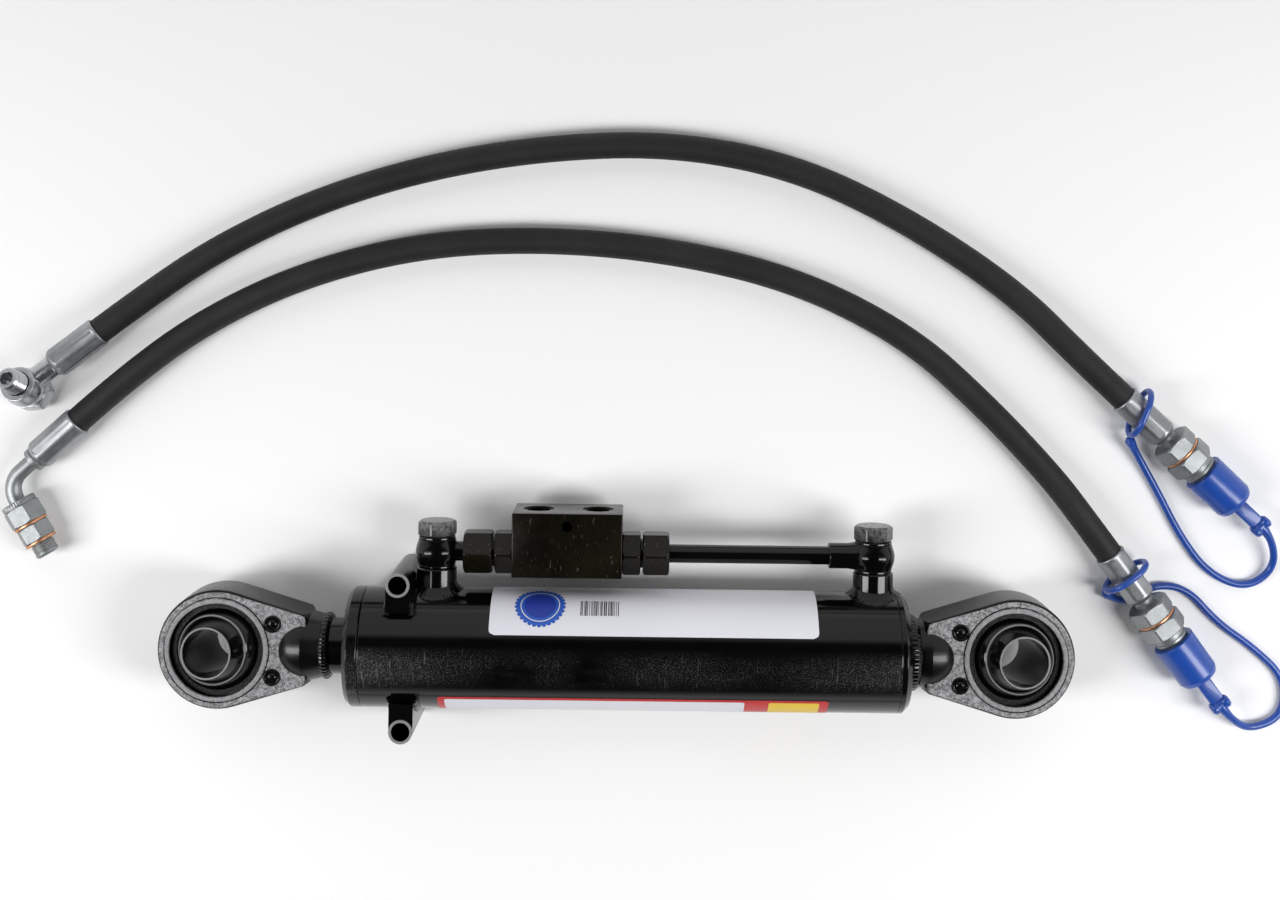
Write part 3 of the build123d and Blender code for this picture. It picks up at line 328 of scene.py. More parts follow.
# %% Bare and plated metals
def metal(name, color, roughness, grain=1200, depth=0.1, stretch=(1, 1, 1), spread=0.12):
    made = Shader(name, Metallic=1.0)
    streak = made.noise(grain, 3, 0.6, stretch)
    cloud = made.noise(90, 3)
    light = tuple(min(1.0, c * 1.12) for c in color)
    dark = tuple(c * 0.82 for c in color)
    made.set("Base Color", made.mix(cloud.span(0.3, 0.7), dark, light))
    made.set("Roughness", streak.span(0.25, 0.75, roughness - spread / 2, roughness + spread / 2))
    return made.bump(streak, depth, 0.0001)


zinc = metal("zinc_plate", (0.34, 0.35, 0.365), 0.45, 500, 0.05)
satin_zinc = metal("satin_zinc_plate", (0.31, 0.325, 0.33), 0.5, 700, 0.06)
steel = metal("bright_steel", (0.5, 0.5, 0.49), 0.3)
chrome = metal("hard_chrome", (0.72, 0.73, 0.75), 0.09, spread=0.04, depth=0.03)
bright_zinc = metal("bright_zinc_plate", (0.5, 0.51, 0.53), 0.3, 500, 0.04)
copper = metal("copper", (0.68, 0.34, 0.2), 0.4)
print("metals", zinc.material.name, steel.material.name, chrome.material.name, copper.material.name)

# %% [markdown]
# ## Black oxide
# The valve block and its nuts are blackened in a bath and oiled. The skin is thin: oil leaves it
# brown in places, and scratches go through to the steel. The scratches are finer than a mesh could
# hold, so stretched noise makes them lighter and more metallic. A bore's wall gets a near-black
# shell with no reflection, a painted shade that keeps holes dark.

# %% Black oxide
oxide = Shader("black_oxide", Specular_IOR_Level=0.26)
scratch = oxide.noise(900, 4, 0.7, (1, 0.25, 1)).span(0.63, 0.74)
smudge = oxide.noise(45, 4).span(0.35, 0.75)
oil = oxide.mix(smudge, (0.0035, 0.003, 0.0018), (0.01, 0.008, 0.004))
oxide.set("Base Color", oxide.mix(scratch * 0.7, oil, (0.2, 0.19, 0.17)))
oxide.set("Roughness", smudge.span(0, 1, 0.16, 0.26))
oxide.set("Metallic", scratch * 0.6)
oxide.bump(oxide.noise(800, 3) + scratch * 0.5, 0.12, 0.0001)
# Bore shade film: a near-black colour with no reflection, put inside bores as painted shade.
bore_shade_film = Shader("painted_bore_shade", Specular_IOR_Level=0.0, Base_Color=(0.002, 0.002, 0.002))
bore_shade_film.set("Roughness", bore_shade_film.noise(500, 3).span(0.3, 0.7, 0.8, 0.95))
print("oxides", oxide.material.name, bore_shade_film.material.name)

# %% [markdown]
# ## Hose rubber
# The rubber of the hoses was cured under a cloth wrapping and is matt. A weave could be modelled,
# but at this distance it shows only as a soft grain. Fine noise gives the grain to the roughness
# and the bump, and a slow one fades the black.

# %% Hose rubber
rubber = Shader("hose_rubber", Specular_IOR_Level=0.35)
wrapping = rubber.noise(420, 4, 0.6)
fade = rubber.noise(35, 4).span(0.4, 0.8)
rubber.set("Base Color", rubber.mix(fade, (0.009, 0.009, 0.0095), (0.016, 0.016, 0.0165)))
rubber.set("Roughness", wrapping.span(0.3, 0.7, 0.55, 0.7))
rubber.bump(wrapping, 0.25, 0.0002)
print("hose", rubber.material.name)

# %% [markdown]
# ## Seals, nylon and vinyl
# Seals and guide rings are moulded, and so are the soft blue caps and straps. Vinyl has a dull
# shine over a strong colour, which a thin coat over a rougher base gives. The seals and rings sit
# inside, so a plain cloudy finish is enough for them.


# %% Seals, nylon and vinyl
def cloudy(name, dark, light, roughness):
    """A moulded material: a little lighter and rougher in fine clouds."""
    made = Shader(name, Specular_IOR_Level=0.35)
    cloud = made.noise(450, 5, 0.6).span(0.35, 0.65)
    made.set("Base Color", made.mix(cloud, dark, light))
    made.set("Roughness", cloud * 0.14 + roughness)
    return made


seal_rubber = cloudy("seal_rubber", (0.009, 0.009, 0.01), (0.02, 0.02, 0.021), 0.5)
nylon = cloudy("nylon_ring", (0.44, 0.38, 0.24), (0.55, 0.5, 0.36), 0.4)
vinyl = Shader("blue_vinyl", Roughness=0.33, Coat_Weight=0.2, Specular_IOR_Level=0.5)
shade = vinyl.noise(60, 3).span(0.3, 0.7)
vinyl.set("Base Color", vinyl.mix(shade, (0.008, 0.052, 0.29), (0.012, 0.066, 0.36)))
vinyl.bump(vinyl.noise(500, 3), 0.1, 0.0002)
print("moulded", seal_rubber.material.name, nylon.material.name, vinyl.material.name)

# %% [markdown]
# ## Label films
# A label is a satin film. It could be one material with a painted map, but then its edges would be
# as coarse as the map. Each colour is a film of its own here, which keeps the edges sharp and needs
# no unwrapping, and slow noise changes its shade and gloss.


# %% Label films
def film(name, color, shade, roughness=0.34):
    made = Shader(name, Specular_IOR_Level=0.3)
    made.set("Base Color", made.mix(made.noise(9, 2).span(0.25, 0.8), color, shade))
    made.set("Roughness", made.noise(30, 2).span(0.3, 0.7, roughness, roughness + 0.05))
    return made


white_film = film("white_film", (0.74, 0.74, 0.79), (0.66, 0.66, 0.72))
blue_film = film("blue_film", (0.03, 0.11, 0.5), (0.025, 0.09, 0.42))
dark_blue_film = film("dark_blue_film", (0.02, 0.045, 0.34), (0.018, 0.04, 0.3))
red_film = film("red_film", (0.55, 0.02, 0.02), (0.45, 0.015, 0.02))
yellow_film = film("yellow_film", (0.8, 0.55, 0.03), (0.7, 0.48, 0.03))
dark_film = film("dark_film", (0.02, 0.02, 0.022), (0.03, 0.03, 0.03))
print("films", white_film.material.name, red_film.material.name, yellow_film.material.name)

# %% [markdown]
# ## Lines in space
# Most pieces of this link sit round an axis: the barrel, the necks, the bolts, the hose ends.
# Objects could be made upright and then moved and turned, but then each would carry its own
# rotation. A `Line` is an axis with a side to start from, and `at` gives the point at a station
# along it, in millimetres as in the CAD part.


# %% Lines in space
class Line:
    def __init__(self, origin, ahead, level=None):
        self.origin = Vector(origin)
        self.z = Vector(ahead).normalized()
        side = Vector(level) if level is not None else self.z.cross(Vector((0, 0, 1)))
        self.x = (side - self.z * side.dot(self.z)).normalized()
        self.y = self.z.cross(self.x)

    def at(self, station, x=0.0, y=0.0):
        return self.origin + self.z * station + self.x * x + self.y * y


def along_x(x=0.0, y=0.0, side=1):
    return Line((x, y, 0), (side, 0, 0), (0, 0, 1))


def upright(x, z=0.0):
    """The line of a barrel port, whose stations are heights above the middle of the link."""
    return Line((x, 0, z), (0, 1, 0), (1, 0, 0))


print("a port's line runs along", tuple(upright(0).z))

# %% [markdown]
# ## Objects from points
# `build` makes an object in metres and says which body it rides on and which CAD
# pieces it stands for. Blender's operators could add and edit primitives, but they depend on what
# is selected. A mesh that is made from lists is the same on each run.


# %% Build an object
def build(name, points, faces, material, body="link_body", slot=None, stands_for=(), sharp=20):
    """One object from points in millimetres that rides on a CAD body."""
    mesh = bpy.data.meshes.new(name)
    mesh.from_pydata([tuple(c * 0.001 for c in p) for p in points], [], faces)
    work = bmesh.new()
    work.from_mesh(mesh)
    bmesh.ops.remove_doubles(work, verts=work.verts, dist=1e-6)
    bmesh.ops.recalc_face_normals(work, faces=work.faces)
    work.to_mesh(mesh)
    work.free()
    for polygon in mesh.polygons:
        polygon.use_smooth = True
    mesh.set_sharp_from_angle(angle=math.radians(sharp))
    made = bpy.data.objects.new(name, mesh)
    bpy.context.scene.collection.objects.link(made)
    made.data.materials.append(material.material)
    if body:
        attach(made, body)
    if stands_for:
        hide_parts(*stands_for)
    return made


print("objects are built in metres")

# %% [markdown]
# ## Skins between rings
# Turned and swept pieces are both rows of rings. `skin` lays faces between rings that have the same
# number of points, and `merge` puts several skins into one mesh, for a piece that was welded or
# screwed together from several shapes.


# %% Skins
def skin(rings, closed=False):
    """Faces between rings of points that all have the same number of points."""
    count = len(rings[0])
    points = [p for ring in rings for p in ring]
    faces = []
    pairs = len(rings) if closed else len(rings) - 1
    for i in range(pairs):
        a = i * count
        b = ((i + 1) % len(rings)) * count
        for j in range(count):
            k = (j + 1) % count
            faces.append((a + j, a + k, b + k, b + j))
    return points, faces


def merge(*parts):
    """Several (points, faces) pairs as one."""
    points, faces = [], []
    for more_points, more_faces in parts:
        start = len(points)
        points += more_points
        faces += [tuple(i + start for i in face) for face in more_faces]
    return points, faces


print("two rings of four points make", len(skin([[0] * 4] * 2)[1]), "faces")

# %% [markdown]
# ## Rounded outlines
# No real edge is sharp, and a broken edge catches a line of light. A Bevel modifier could round the
# finished mesh. Rounding the outline before it is turned costs less, and it gives the same even
# edge all the way round.


# %% Rounded outlines
def soften(outline, radius, closed=True, steps=6):
    """Round the corners of an outline of (station, radius) points, except those on the axis."""
    made = []
    count = len(outline)
    for i, (s, r) in enumerate(outline):
        before = outline[i - 1]
        after = outline[(i + 1) % count]
        ends = not closed and i in (0, count - 1)
        if ends or r < 1e-6:
            made.append((s, r))
            continue
        corner = Vector((s, r))
        one = Vector(before) - corner
        two = Vector(after) - corner
        if min(one.length, two.length) < 1e-6 or not 0.02 < one.angle(two, 0) < math.radians(172):
            made.append((s, r))
            continue
        reach = min(radius / math.tan(one.angle(two) / 2), 0.45 * one.length, 0.45 * two.length)
        start = corner + one.normalized() * reach
        end = corner + two.normalized() * reach
        for k in range(steps + 1):
            t = k / steps
            made.append(tuple(start * (1 - t) ** 2 + corner * 2 * t * (1 - t) + end * t**2))
    return made


print("a square outline gets", len(soften([(0, 1), (1, 1), (1, 2), (0, 2)], 0.1)), "points")

# %% [markdown]
# ## Turned pieces
# A lathe cuts most of this link. A Screw modifier turns an outline too, but it gives the same
# radius at every angle. Turning the points in a loop lets a function change the radius by angle,
# for crimped flats, a knurl or the ripples of a weld.


# %% Turned pieces
def turned(line, outline, segments=96, soft=0.35, closed=True, shape=None):
    """Rings of a turned piece. shape(station, radius, angle) may change each point's radius."""
    rings = []
    for s, r in soften(outline, soft, closed):
        ring = []
        for j in range(segments):
            angle = 2 * math.pi * j / segments
            radius = shape(s, r, angle) if shape else r
            ring.append(line.at(s, radius * math.cos(angle), radius * math.sin(angle)))
        rings.append(ring)
    return skin(rings, closed)


def ring_piece(line, start, end, inner, outer, **more):
    return turned(line, [(start, inner), (end, inner), (end, outer), (start, outer)], **more)


def rod_piece(line, start, end, radius, **more):
    return turned(line, [(start, 0), (start, radius), (end, radius), (end, 0)], closed=False, **more)


print("a turned pin has", len(rod_piece(along_x(), 0, 5, 2)[1]), "faces")

# %% [markdown]
# ## Threads and hexagons
# A nut is a hexagon whose corners are turned off at thirty degrees, which leaves curved edges on
# its flats. A bevelled six-sided cylinder has straight ones, so rings of points follow the hexagon
# here and fall away outside the turned circle. A thread is drawn as rings in place of a helix,
# since the two look alike at this size.


# %% Threads and hexagons
def thread(start, end, crest, depth=0.42, pitch=1.34):
    """Outline points of a thread between two stations."""
    made = []
    station = start
    while station + pitch < end:
        root = crest - depth
        made += [(station, crest), (station + 0.3 * pitch, root), (station + 0.55 * pitch, root),
                 (station + 0.85 * pitch, crest)]
        station += pitch
    return made


def hexagon(line, start, end, flats, hole, turn=0.0, segments=144, bevel=1.0):
    """A hexagon with turned-off corners at both ends and a round hole."""
    half = flats / 2
    corner = half / math.cos(math.radians(30))
    turned_off = corner - 1.7 * bevel
    slope = math.tan(math.radians(30))

    def wall(angle):
        local = (math.degrees(angle) - turn) % 60 - 30
        return min(half / math.cos(math.radians(local)), corner - 0.25)

    face_rings = [
        (lambda angle: hole, 0), (lambda angle: hole + 0.3, 0), (lambda angle: turned_off, 0),
        (lambda angle: wall(angle) - 0.22, 0), (wall, 0.3),
    ]
    ends_made = []
    for side, station in ((1, start), (-1, end)):
        found = []
        for radius_at, drop in face_rings:
            ring = []
            for j in range(segments):
                angle = 2 * math.pi * j / segments
                r = radius_at(angle)
                fall = max(0.0, r - turned_off) * slope + drop
                ring.append(line.at(station + side * fall, r * math.cos(angle), r * math.sin(angle)))
            found.append(ring)
        ends_made.append(found)
    return skin(ends_made[0] + ends_made[1][::-1], closed=hole > 0)


print("a thread of 6 mm has", len(thread(0, 6, 6.5)), "outline points")

# %% [markdown]
# ## Bent pipes
# A steel pipe is bent round a former, so its middle line is straight, then an arc, then straight
# again. It could be drawn by hand as a curve. An arc worked out from the corner and the former's
# radius keeps the bend true when either changes.


# %% Bent pipes
def pipe_bend(start, corner, end, radius, steps=24):
    """The middle line of a steel pipe bent once round a former of one radius."""
    before = (start - corner).normalized()
    after = (end - corner).normalized()
    turn = math.pi - before.angle(after)
    reach = radius * math.tan(turn / 2)
    centre = corner + (before + after).normalized() * (radius / math.cos(turn / 2))
    first = corner + before * reach - centre
    last = corner + after * reach - centre
    arc = [
        centre + (first * math.sin((1 - k / steps) * turn) + last * math.sin(k / steps * turn)) / math.sin(turn)
        for k in range(steps + 1)
    ]
    return [start, start.lerp(arc[0], 0.5), *arc, arc[-1].lerp(end, 0.5), end]


print("pipe bends ready")

# %% [markdown]
# ## Lines of cords
# A hose or a strap has no straight stretch and no corner. Arcs joined end to end would show where
# they meet, so a cord follows a NURBS line, which takes the route's points as its control points
# and stays smooth between them. Its points are read back for the mesh and for the cord's length.


# %% Lines of cords
def smooth_line(name, route, resolution):
    """Points read from the NURBS line that has the route's points as its control points."""
    curve = bpy.data.curves.new(name, "CURVE")
    curve.dimensions = "3D"
    curve.resolution_u = resolution
    spline = curve.splines.new("NURBS")
    spline.points.add(len(route) - 1)
    for point, place in zip(spline.points, route):
        point.co = (*place, 1)
    spline.order_u = 3
    spline.use_endpoint_u = True
    carrier = bpy.data.objects.new(name, curve)
    mesh = bpy.data.meshes.new_from_object(carrier)
    path = [vertex.co.copy() for vertex in mesh.vertices]
    bpy.data.objects.remove(carrier)
    bpy.data.curves.remove(curve)
    bpy.data.meshes.remove(mesh)
    return path


def path_length(path):
    return sum((b - a).length for a, b in zip(path, path[1:]))


print("a straight line measures", round(path_length([Vector((0, 0, 0)), Vector((3, 4, 0))]), 1))

# %% [markdown]
# ## Swept tubes
# Hoses, straps, springs and weld beads are a circle that is carried along a line. A curve object
# with a bevel does that too. A mesh is used because its radius can change on the way.


# %% Swept tubes
def swept(path, radius, segments=32, closed=False, shape=None):
    """A round tube along a row of points."""
    count = len(path)
    rings = []
    side = None
    for i, p in enumerate(path):
        before = path[i - 1] if i or closed else path[0]
        after = path[(i + 1) % count] if i < count - 1 or closed else path[-1]
        ahead = (after - before).normalized()
        if side is None:
            side = ahead.orthogonal().normalized()
        side = (side - ahead * side.dot(ahead)).normalized()
        up = ahead.cross(side)
        ring = []
        for j in range(segments):
            angle = 2 * math.pi * j / segments
            r = shape(i, angle) if shape else radius
            ring.append(p + side * (r * math.cos(angle)) + up * (r * math.sin(angle)))
        rings.append(ring)
    points, faces = skin(rings, closed)
    if not closed:
        faces.append(tuple(range(segments)))
        last = (count - 1) * segments
        faces.append(tuple(range(last, last + segments)))
    return points, faces


print("tubes can be swept")

# %% [markdown]
# ## Boxes and drilled holes
# The valve block and the tabs of the caps are boxes with rounded edges, which a cube with a bevel
# gives. Holes are drilled the way a workshop does it: a pin in the shape of the drill is taken out
# of the block by a Boolean. Rings can't do that, because the holes cross each other.


# %% Boxes and drilled holes
def block(line, size, radius=0.6, steps=3):
    """A box whose corners are rounded, centred on the line's origin."""
    half = [s / 2 - radius for s in size]
    work = bmesh.new()
    bmesh.ops.create_cube(work, size=1)
    for v in work.verts:
        v.co = Vector([math.copysign(h + radius, c) for c, h in zip(v.co, half)])
    bmesh.ops.bevel(work, geom=work.edges, offset=radius, segments=steps, profile=0.5, affect="EDGES")
    points = [line.origin + line.x * v.co.x + line.y * v.co.y + line.z * v.co.z for v in work.verts]
    work.verts.index_update()
    faces = [tuple(v.index for v in f.verts) for f in work.faces]
    work.free()
    return points, faces


def cut(target, cutters):
    """Take the cutters out of target and keep the result as its mesh."""
    for points, faces in cutters:
        tool = build("cutter", points, faces, black_paint, body=None)
        change = target.modifiers.new("cut", "BOOLEAN")
        change.object = tool
        change.solver = "EXACT"
        bpy.context.view_layer.update()
        seen = target.evaluated_get(bpy.context.evaluated_depsgraph_get())
        mesh = bpy.data.meshes.new_from_object(seen)
        target.modifiers.clear()
        target.data = mesh
        bpy.data.objects.remove(tool)
    for polygon in target.data.polygons:
        polygon.use_smooth = True
    target.data.set_sharp_from_angle(angle=math.radians(25))
    return target


print("mesh tools ready")

# %% [markdown]
# ## The cylinder
# The barrel is a steel tube, closed by the gland on the rod side and by the base cap on the other.
# Plain cylinders could be put end to end, but the seams would be missing. Turned outlines give the
# walls, the broken edges and the groove at each seam at once, and the bore is real because the rod
# comes out of it.

# %% Barrel
BARREL, BORE, ROD, FIT = 32.5, 25.0, 15.0, 0.05
GLAND_FACE, GLAND_SEAM, GLAND_TAIL = -364.2, -355.6, -327.6
CAP_TAIL, CAP_SEAM, CAP_FACE = -70.5, -64.5, -58.5
axis = along_x()

barrel = build(
    "barrel", *ring_piece(axis, GLAND_SEAM + FIT, CAP_SEAM, BORE, BARREL, segments=160, soft=0.5),
    barrel_paint, slot="black_paint", stands_for=["barrel_tube"],
)
gland = build(
    "gland", *turned(axis, [
        (GLAND_FACE + 1.2, ROD + FIT), (GLAND_TAIL, ROD + FIT), (GLAND_TAIL, BORE - FIT),
        (GLAND_SEAM, BORE - FIT), (GLAND_SEAM, 31.6), (GLAND_SEAM - 1.0, BARREL),
        (GLAND_FACE + 2.6, BARREL), (GLAND_FACE, 30.4), (GLAND_FACE, 19.2), (GLAND_FACE + 1.2, 19.0),
    ], segments=160, soft=0.4),
    dusty_paint, slot="black_paint", stands_for=["gland_head"],
)
cap = build(
    "end_cap", *turned(axis, [
        (CAP_TAIL, 0), (CAP_TAIL, BORE - FIT), (CAP_SEAM, BORE - FIT), (CAP_SEAM, BARREL),
        (CAP_FACE - 3.2, BARREL), (CAP_FACE, 29.4), (CAP_FACE, 0),
    ], segments=160, soft=0.6, closed=False),
    black_paint, slot="black_paint", stands_for=["base_cap"],
)
print("cylinder", barrel.name, gland.name, cap.name)

# %% [markdown]
# ## Rod and its painted end
# The chromed rod carries the piston, and only its painted end shows while the link is closed. The
# paint could be a band in the rod's material. A thin shell of its own gives it a real edge, and it
# comes out with the rod.

# %% Rod
ROD_START, PISTON_SHOULDER, PISTON_FACE, ROD_TAIL = -376.5, -113, -87, -73.5
PISTON_SEAT, NUT_THREAD = 11, 10
rod = build(
    "rod", *turned(axis, [
        (ROD_START, 0), (ROD_START, ROD), (PISTON_SHOULDER, ROD), (PISTON_SHOULDER, PISTON_SEAT),
        (PISTON_FACE, PISTON_SEAT), (PISTON_FACE, NUT_THREAD), (ROD_TAIL, NUT_THREAD), (ROD_TAIL, 0),
    ], segments=96, closed=False),
    chrome, body="rod", slot="hard_chrome", stands_for=["piston_rod"],
)
stub = build(
    "painted_rod_stub", *turned(axis, [
        (-376.4, 14.9), (-376.4, 15.08), (-366.2, 15.08), (-365.2, 15.03), (-365.1, 14.9),
    ], segments=96, soft=0.02),
    black_paint, body="rod", slot="black_paint",
)
print("rod", rod.name, stub.name)

# %% [markdown]
# ## The outline of an eye
# An eye is a forged plate: a circle whose sides run straight and taper towards the neck, where a
# turned shoulder trims its corners. The outline could be traced as a list of points. Two short
# formulas say how far it lies from the middle at each angle and how high it stands, which keeps it
# round and even.

# %% Eye outline
EYE_ROUND, EYE_HALF, EYE_EDGE = 32.5, 14.0, 2.4
TAPER, PLATE_END = math.radians(17), 49.3
SHOULDER_START, SHOULDER_END, SHOULDER_WIDE, SHOULDER_NARROW = 38, 50, 40, 18.7


def plate_reach(angle):
    """How far the plate's outline lies from the eye's middle."""
    turn = abs((angle + math.pi) % (2 * math.pi) - math.pi)
    if turn >= math.pi / 2 - TAPER:
        return EYE_ROUND
    return min(EYE_ROUND / math.sin(turn + TAPER), PLATE_END / math.cos(turn))


def plate_height(x, y):
    """Where the turned shoulder trims the plate near its neck."""
    if x < SHOULDER_START:
        return EYE_HALF
    share = (x - SHOULDER_START) / (SHOULDER_END - SHOULDER_START)
    shoulder = SHOULDER_WIDE - (SHOULDER_WIDE - SHOULDER_NARROW) * share
    return min(EYE_HALF, math.sqrt(max(shoulder**2 - y**2, 0.04)))


print("the plate reaches", plate_reach(0), "mm towards its neck and", plate_reach(math.pi), "mm away from it")

# %% [markdown]
# ## The plate of an eye
# Round the ball the plate has a recess, a raised lip, a groove, a flat face and a rounded edge.
# They could be cut one after another by Booleans, with ragged edges where they meet. Rings round
# the eye's middle pass over all of them, so that the plate is one clean skin.

# %% Eye plate
SEAT_ROUND, SEAT_HALF, SEAT_MOUTH = 25.05, 11.5, 22.26
LIP_INNER, LIP_TOP, GROOVE_OUTER = 25.5, 14.95, 28.9


def eye_plate(line, segments=240):
    """The plate as rings round its seat: up the seat's lip, over the face, round the edge and back."""
    rings = []

    def add(radius_of, height):
        ring = []
        for j in range(segments):
            angle = 2 * math.pi * j / segments
            r = radius_of(plate_reach(angle))
            x, y = r * math.cos(angle), r * math.sin(angle)
            top = plate_height(x, y)
            z = height * min(1.0, top / EYE_HALF)
            ring.append(line.origin + line.z * z + line.x * x + line.y * y)
        rings.append(ring)

    def half(sign):
        lip = [
            (SEAT_MOUTH, SEAT_HALF), (LIP_INNER, SEAT_HALF), (LIP_INNER, 14.5), (25.9, LIP_TOP),
            (27.4, LIP_TOP), (28.0, 14.5), (28.5, 14.05),
        ]
        made = [(lambda reach, r=r: r, height) for r, height in lip]
        for t in range(11):
            made.append((
                lambda reach, t=t: GROOVE_OUTER + (reach - EYE_EDGE - GROOVE_OUTER) * t / 10, EYE_HALF,
            ))
        for k in range(1, 7):
            a = math.pi / 2 * k / 6
            height = EYE_HALF - EYE_EDGE + EYE_EDGE * math.cos(a)
            made.append((lambda reach, a=a: reach - EYE_EDGE + EYE_EDGE * math.sin(a), height))
        return [(radius_of, sign * height) for radius_of, height in made]

    top = half(1)
    low = half(-1)[::-1]
    seat = [(lambda reach, z=z: math.sqrt(SEAT_ROUND**2 - z**2), z) for z in (-8, -4, 0, 4, 8)]
    for radius_of, height in top + [(lambda reach: reach, 0.0)] + low + seat:
        add(radius_of, height)
    return skin(rings, closed=True)


print("eye plate", EYE_ROUND * 2, "mm across and", EYE_HALF * 2, "mm thick")

# %% [markdown]
# ## The neck and the forging marks
# The neck swells out of the plate as a round nose and narrows towards its weld. A turned piece
# along the neck's axis gives that shape, and it sinks into the plate as the forging blends there.
# Beside the neck sit two raised round marks, each a low disc with a rim and a dome.

# %% Eye neck and forging marks
NECK_TIP, NECK_BULGE, NECK_CREST = Vector((29.25, 7)), Vector((33.2, 17.6)), Vector((46.2, 19.6))
EYE_REACH = 58.5


def eye_neck(line):
    """line runs from the eye's middle along the neck."""
    outline = [(29.2, 0), tuple(NECK_TIP)]
    for k in range(1, 12):
        t = k / 12
        outline.append(tuple(NECK_TIP * (1 - t) ** 2 + NECK_BULGE * 2 * t * (1 - t) + NECK_CREST * t**2))
    outline += [tuple(NECK_CREST), (56, 17.2), (EYE_REACH, 15), (EYE_REACH, 0)]
    return turned(line, outline, segments=128, soft=0.8, closed=False)


def medallion(line):
    """A round forging mark: a low disc with a raised rim and a plain dome in its middle."""
    outline = [
        (0.85, 0), (0.7, 1.6), (0.3, 2.2), (0.3, 3.3), (0.85, 3.7), (0.85, 4.3), (0.5, 4.6), (0.12, 4.8),
        (-0.4, 4.9), (-0.4, 0),
    ]
    return turned(line, outline, segments=48, soft=0.2, closed=False)


print("neck reaches", EYE_REACH, "mm from the eye's middle")

# %% [markdown]
# ## Two eyes
# Both ends carry the same forging, one on the rod and one on the barrel. One could be made and
# mirrored, but each has to ride on its own body. So a function makes an eye for a place, a side and
# a body, with its lips and grooves as pieces of their own, since their finish differs from that of
# the faces.

# %% Two eyes
ROD_EYE, BASE_EYE = -435.0, 0.0
MARK_OUT, MARK_ASIDE = 30.3, 14.45


def eye(name, x, side, body, node):
    """side is the way the neck runs along X, 1 or -1."""
    middle = Line((x, 0, 0), (0, 0, 1), (side, 0, 0))
    middle.y = Vector((0, 1, 0))
    neck = along_x(x, side=side)
    plate = build(name, *eye_plate(middle), forged, body=body, slot="black_paint", stands_for=[node], sharp=28)
    marks = [
        medallion(Line((x + side * MARK_OUT, y, face * EYE_HALF), (0, 0, face), (1, 0, 0)))
        for face in (1, -1) for y in (MARK_ASIDE, -MARK_ASIDE)
    ]
    build(name + "_marks", *merge(*marks), black_paint, body=body, slot="black_paint")
    lips, grooves = [], []
    for face in (1, -1):
        way = Line((x, 0, 0), (0, 0, face), (1, 0, 0))
        lips.append(ring_piece(way, 14.3, 15.04, 25.62, 27.7, soft=0.3, segments=160))
        grooves.append(ring_piece(way, 13.8, 14.34, 27.75, 28.75, soft=0.1, segments=160))
    # The lips carry a painted sheen in their grey; the grooves stay plain black.
    build(name + "_lips", *merge(*lips), eye_lip_paint, body=body, slot="black_paint")
    build(name + "_grooves", *merge(*grooves), black_paint, body=body, slot="black_paint")
    build(name + "_neck", *eye_neck(neck), neck_paint, body=body, slot="black_paint")
    return plate


for plate in (
    eye("rod_eye_forging", ROD_EYE, 1, "rod", "rod_eye"),
    eye("base_eye_forging", BASE_EYE, -1, "link_body", "base_eye"),
):
    print(plate.name, "has", len(plate.data.polygons), "faces")

# %% [markdown]
# ## The balls
# In each eye sits a ball with a bore for the hitch pin. It swivels, and in the photograph each
# leans a little. A sphere with a hole would lack the collars that reach out past the plate. The
# ball is turned from one outline: a bore, two sloping collars and the sphere between them, with
# rings on its faced edges whose grey is a painted sheen.

# %% Balls
BALL_ROUND, PIN_BORE, BALL_HALF = 24.97, 12.85, 25.5
COLLAR_FOOT = (15.6, 19.5)


def pin_ball(name, x, about_y, about_x, body, node):
    turn = Matrix.Rotation(math.radians(about_y), 3, "Y") @ Matrix.Rotation(math.radians(about_x), 3, "X")
    line = Line((x, 0, 0), turn @ Vector((0, 0, 1)), turn @ Vector((1, 0, 0)))
    flank = [(BALL_HALF, 13.4), (BALL_HALF, 14.1), (24.8, 14.5), (17.0, 17.9), (16.2, 18.6), COLLAR_FOOT]
    start = math.atan2(COLLAR_FOOT[1], COLLAR_FOOT[0])
    outline = [(-24.8, PIN_BORE), (24.8, PIN_BORE), *flank]
    for k in range(1, 40):
        a = start + (math.pi - 2 * start) * k / 40
        outline.append((BALL_ROUND * math.cos(a), BALL_ROUND * math.sin(a)))
    outline += [(-s, r) for s, r in flank[::-1]]
    made = build(name, *turned(line, outline, segments=128, soft=0.2), black_paint, body=body,
                 slot="black_paint", stands_for=[node])
    lips = []
    for face in (1, -1):
        way = Line(line.origin, line.z * face, line.x)
        lips.append(ring_piece(way, 25.0, 25.62, 13.0, 14.0, soft=0.25, segments=128))
        lips.append(turned(way, [(15.2, 18.6), (15.6, 19.2), (16.2, 18.9), (16.7, 18.3), (16.0, 18.0)],
                           soft=0.2, segments=128))
    # The lips' grey is a painted sheen.
    build(name + "_lips", *merge(*lips), lip_paint, body=body, slot="black_paint")
    return made


pin_ball("rod_end_pin_ball", ROD_EYE, -6.7, -2.0, "rod_end_ball", "rod_ball")
pin_ball("base_end_pin_ball", BASE_EYE, 5.0, -3.0, "base_end_ball", "base_ball")
print("balls made with a pin bore of", 2 * PIN_BORE, "mm")

# %% [markdown]
# ## Weld beads on the necks
# Each neck is welded on all the way round. The bead could be a smooth ring with a bump, but its
# ripples show in the outline of the neck. So the ring's radius itself ripples, a little unevenly,
# as the torch moved on.


# %% Beads on the necks
def ripple(s, r, angle, count=44, depth=0.35):
    return r + depth * abs(math.sin(angle * count / 2 + 0.7 * math.sin(3 * angle))) - depth / 2


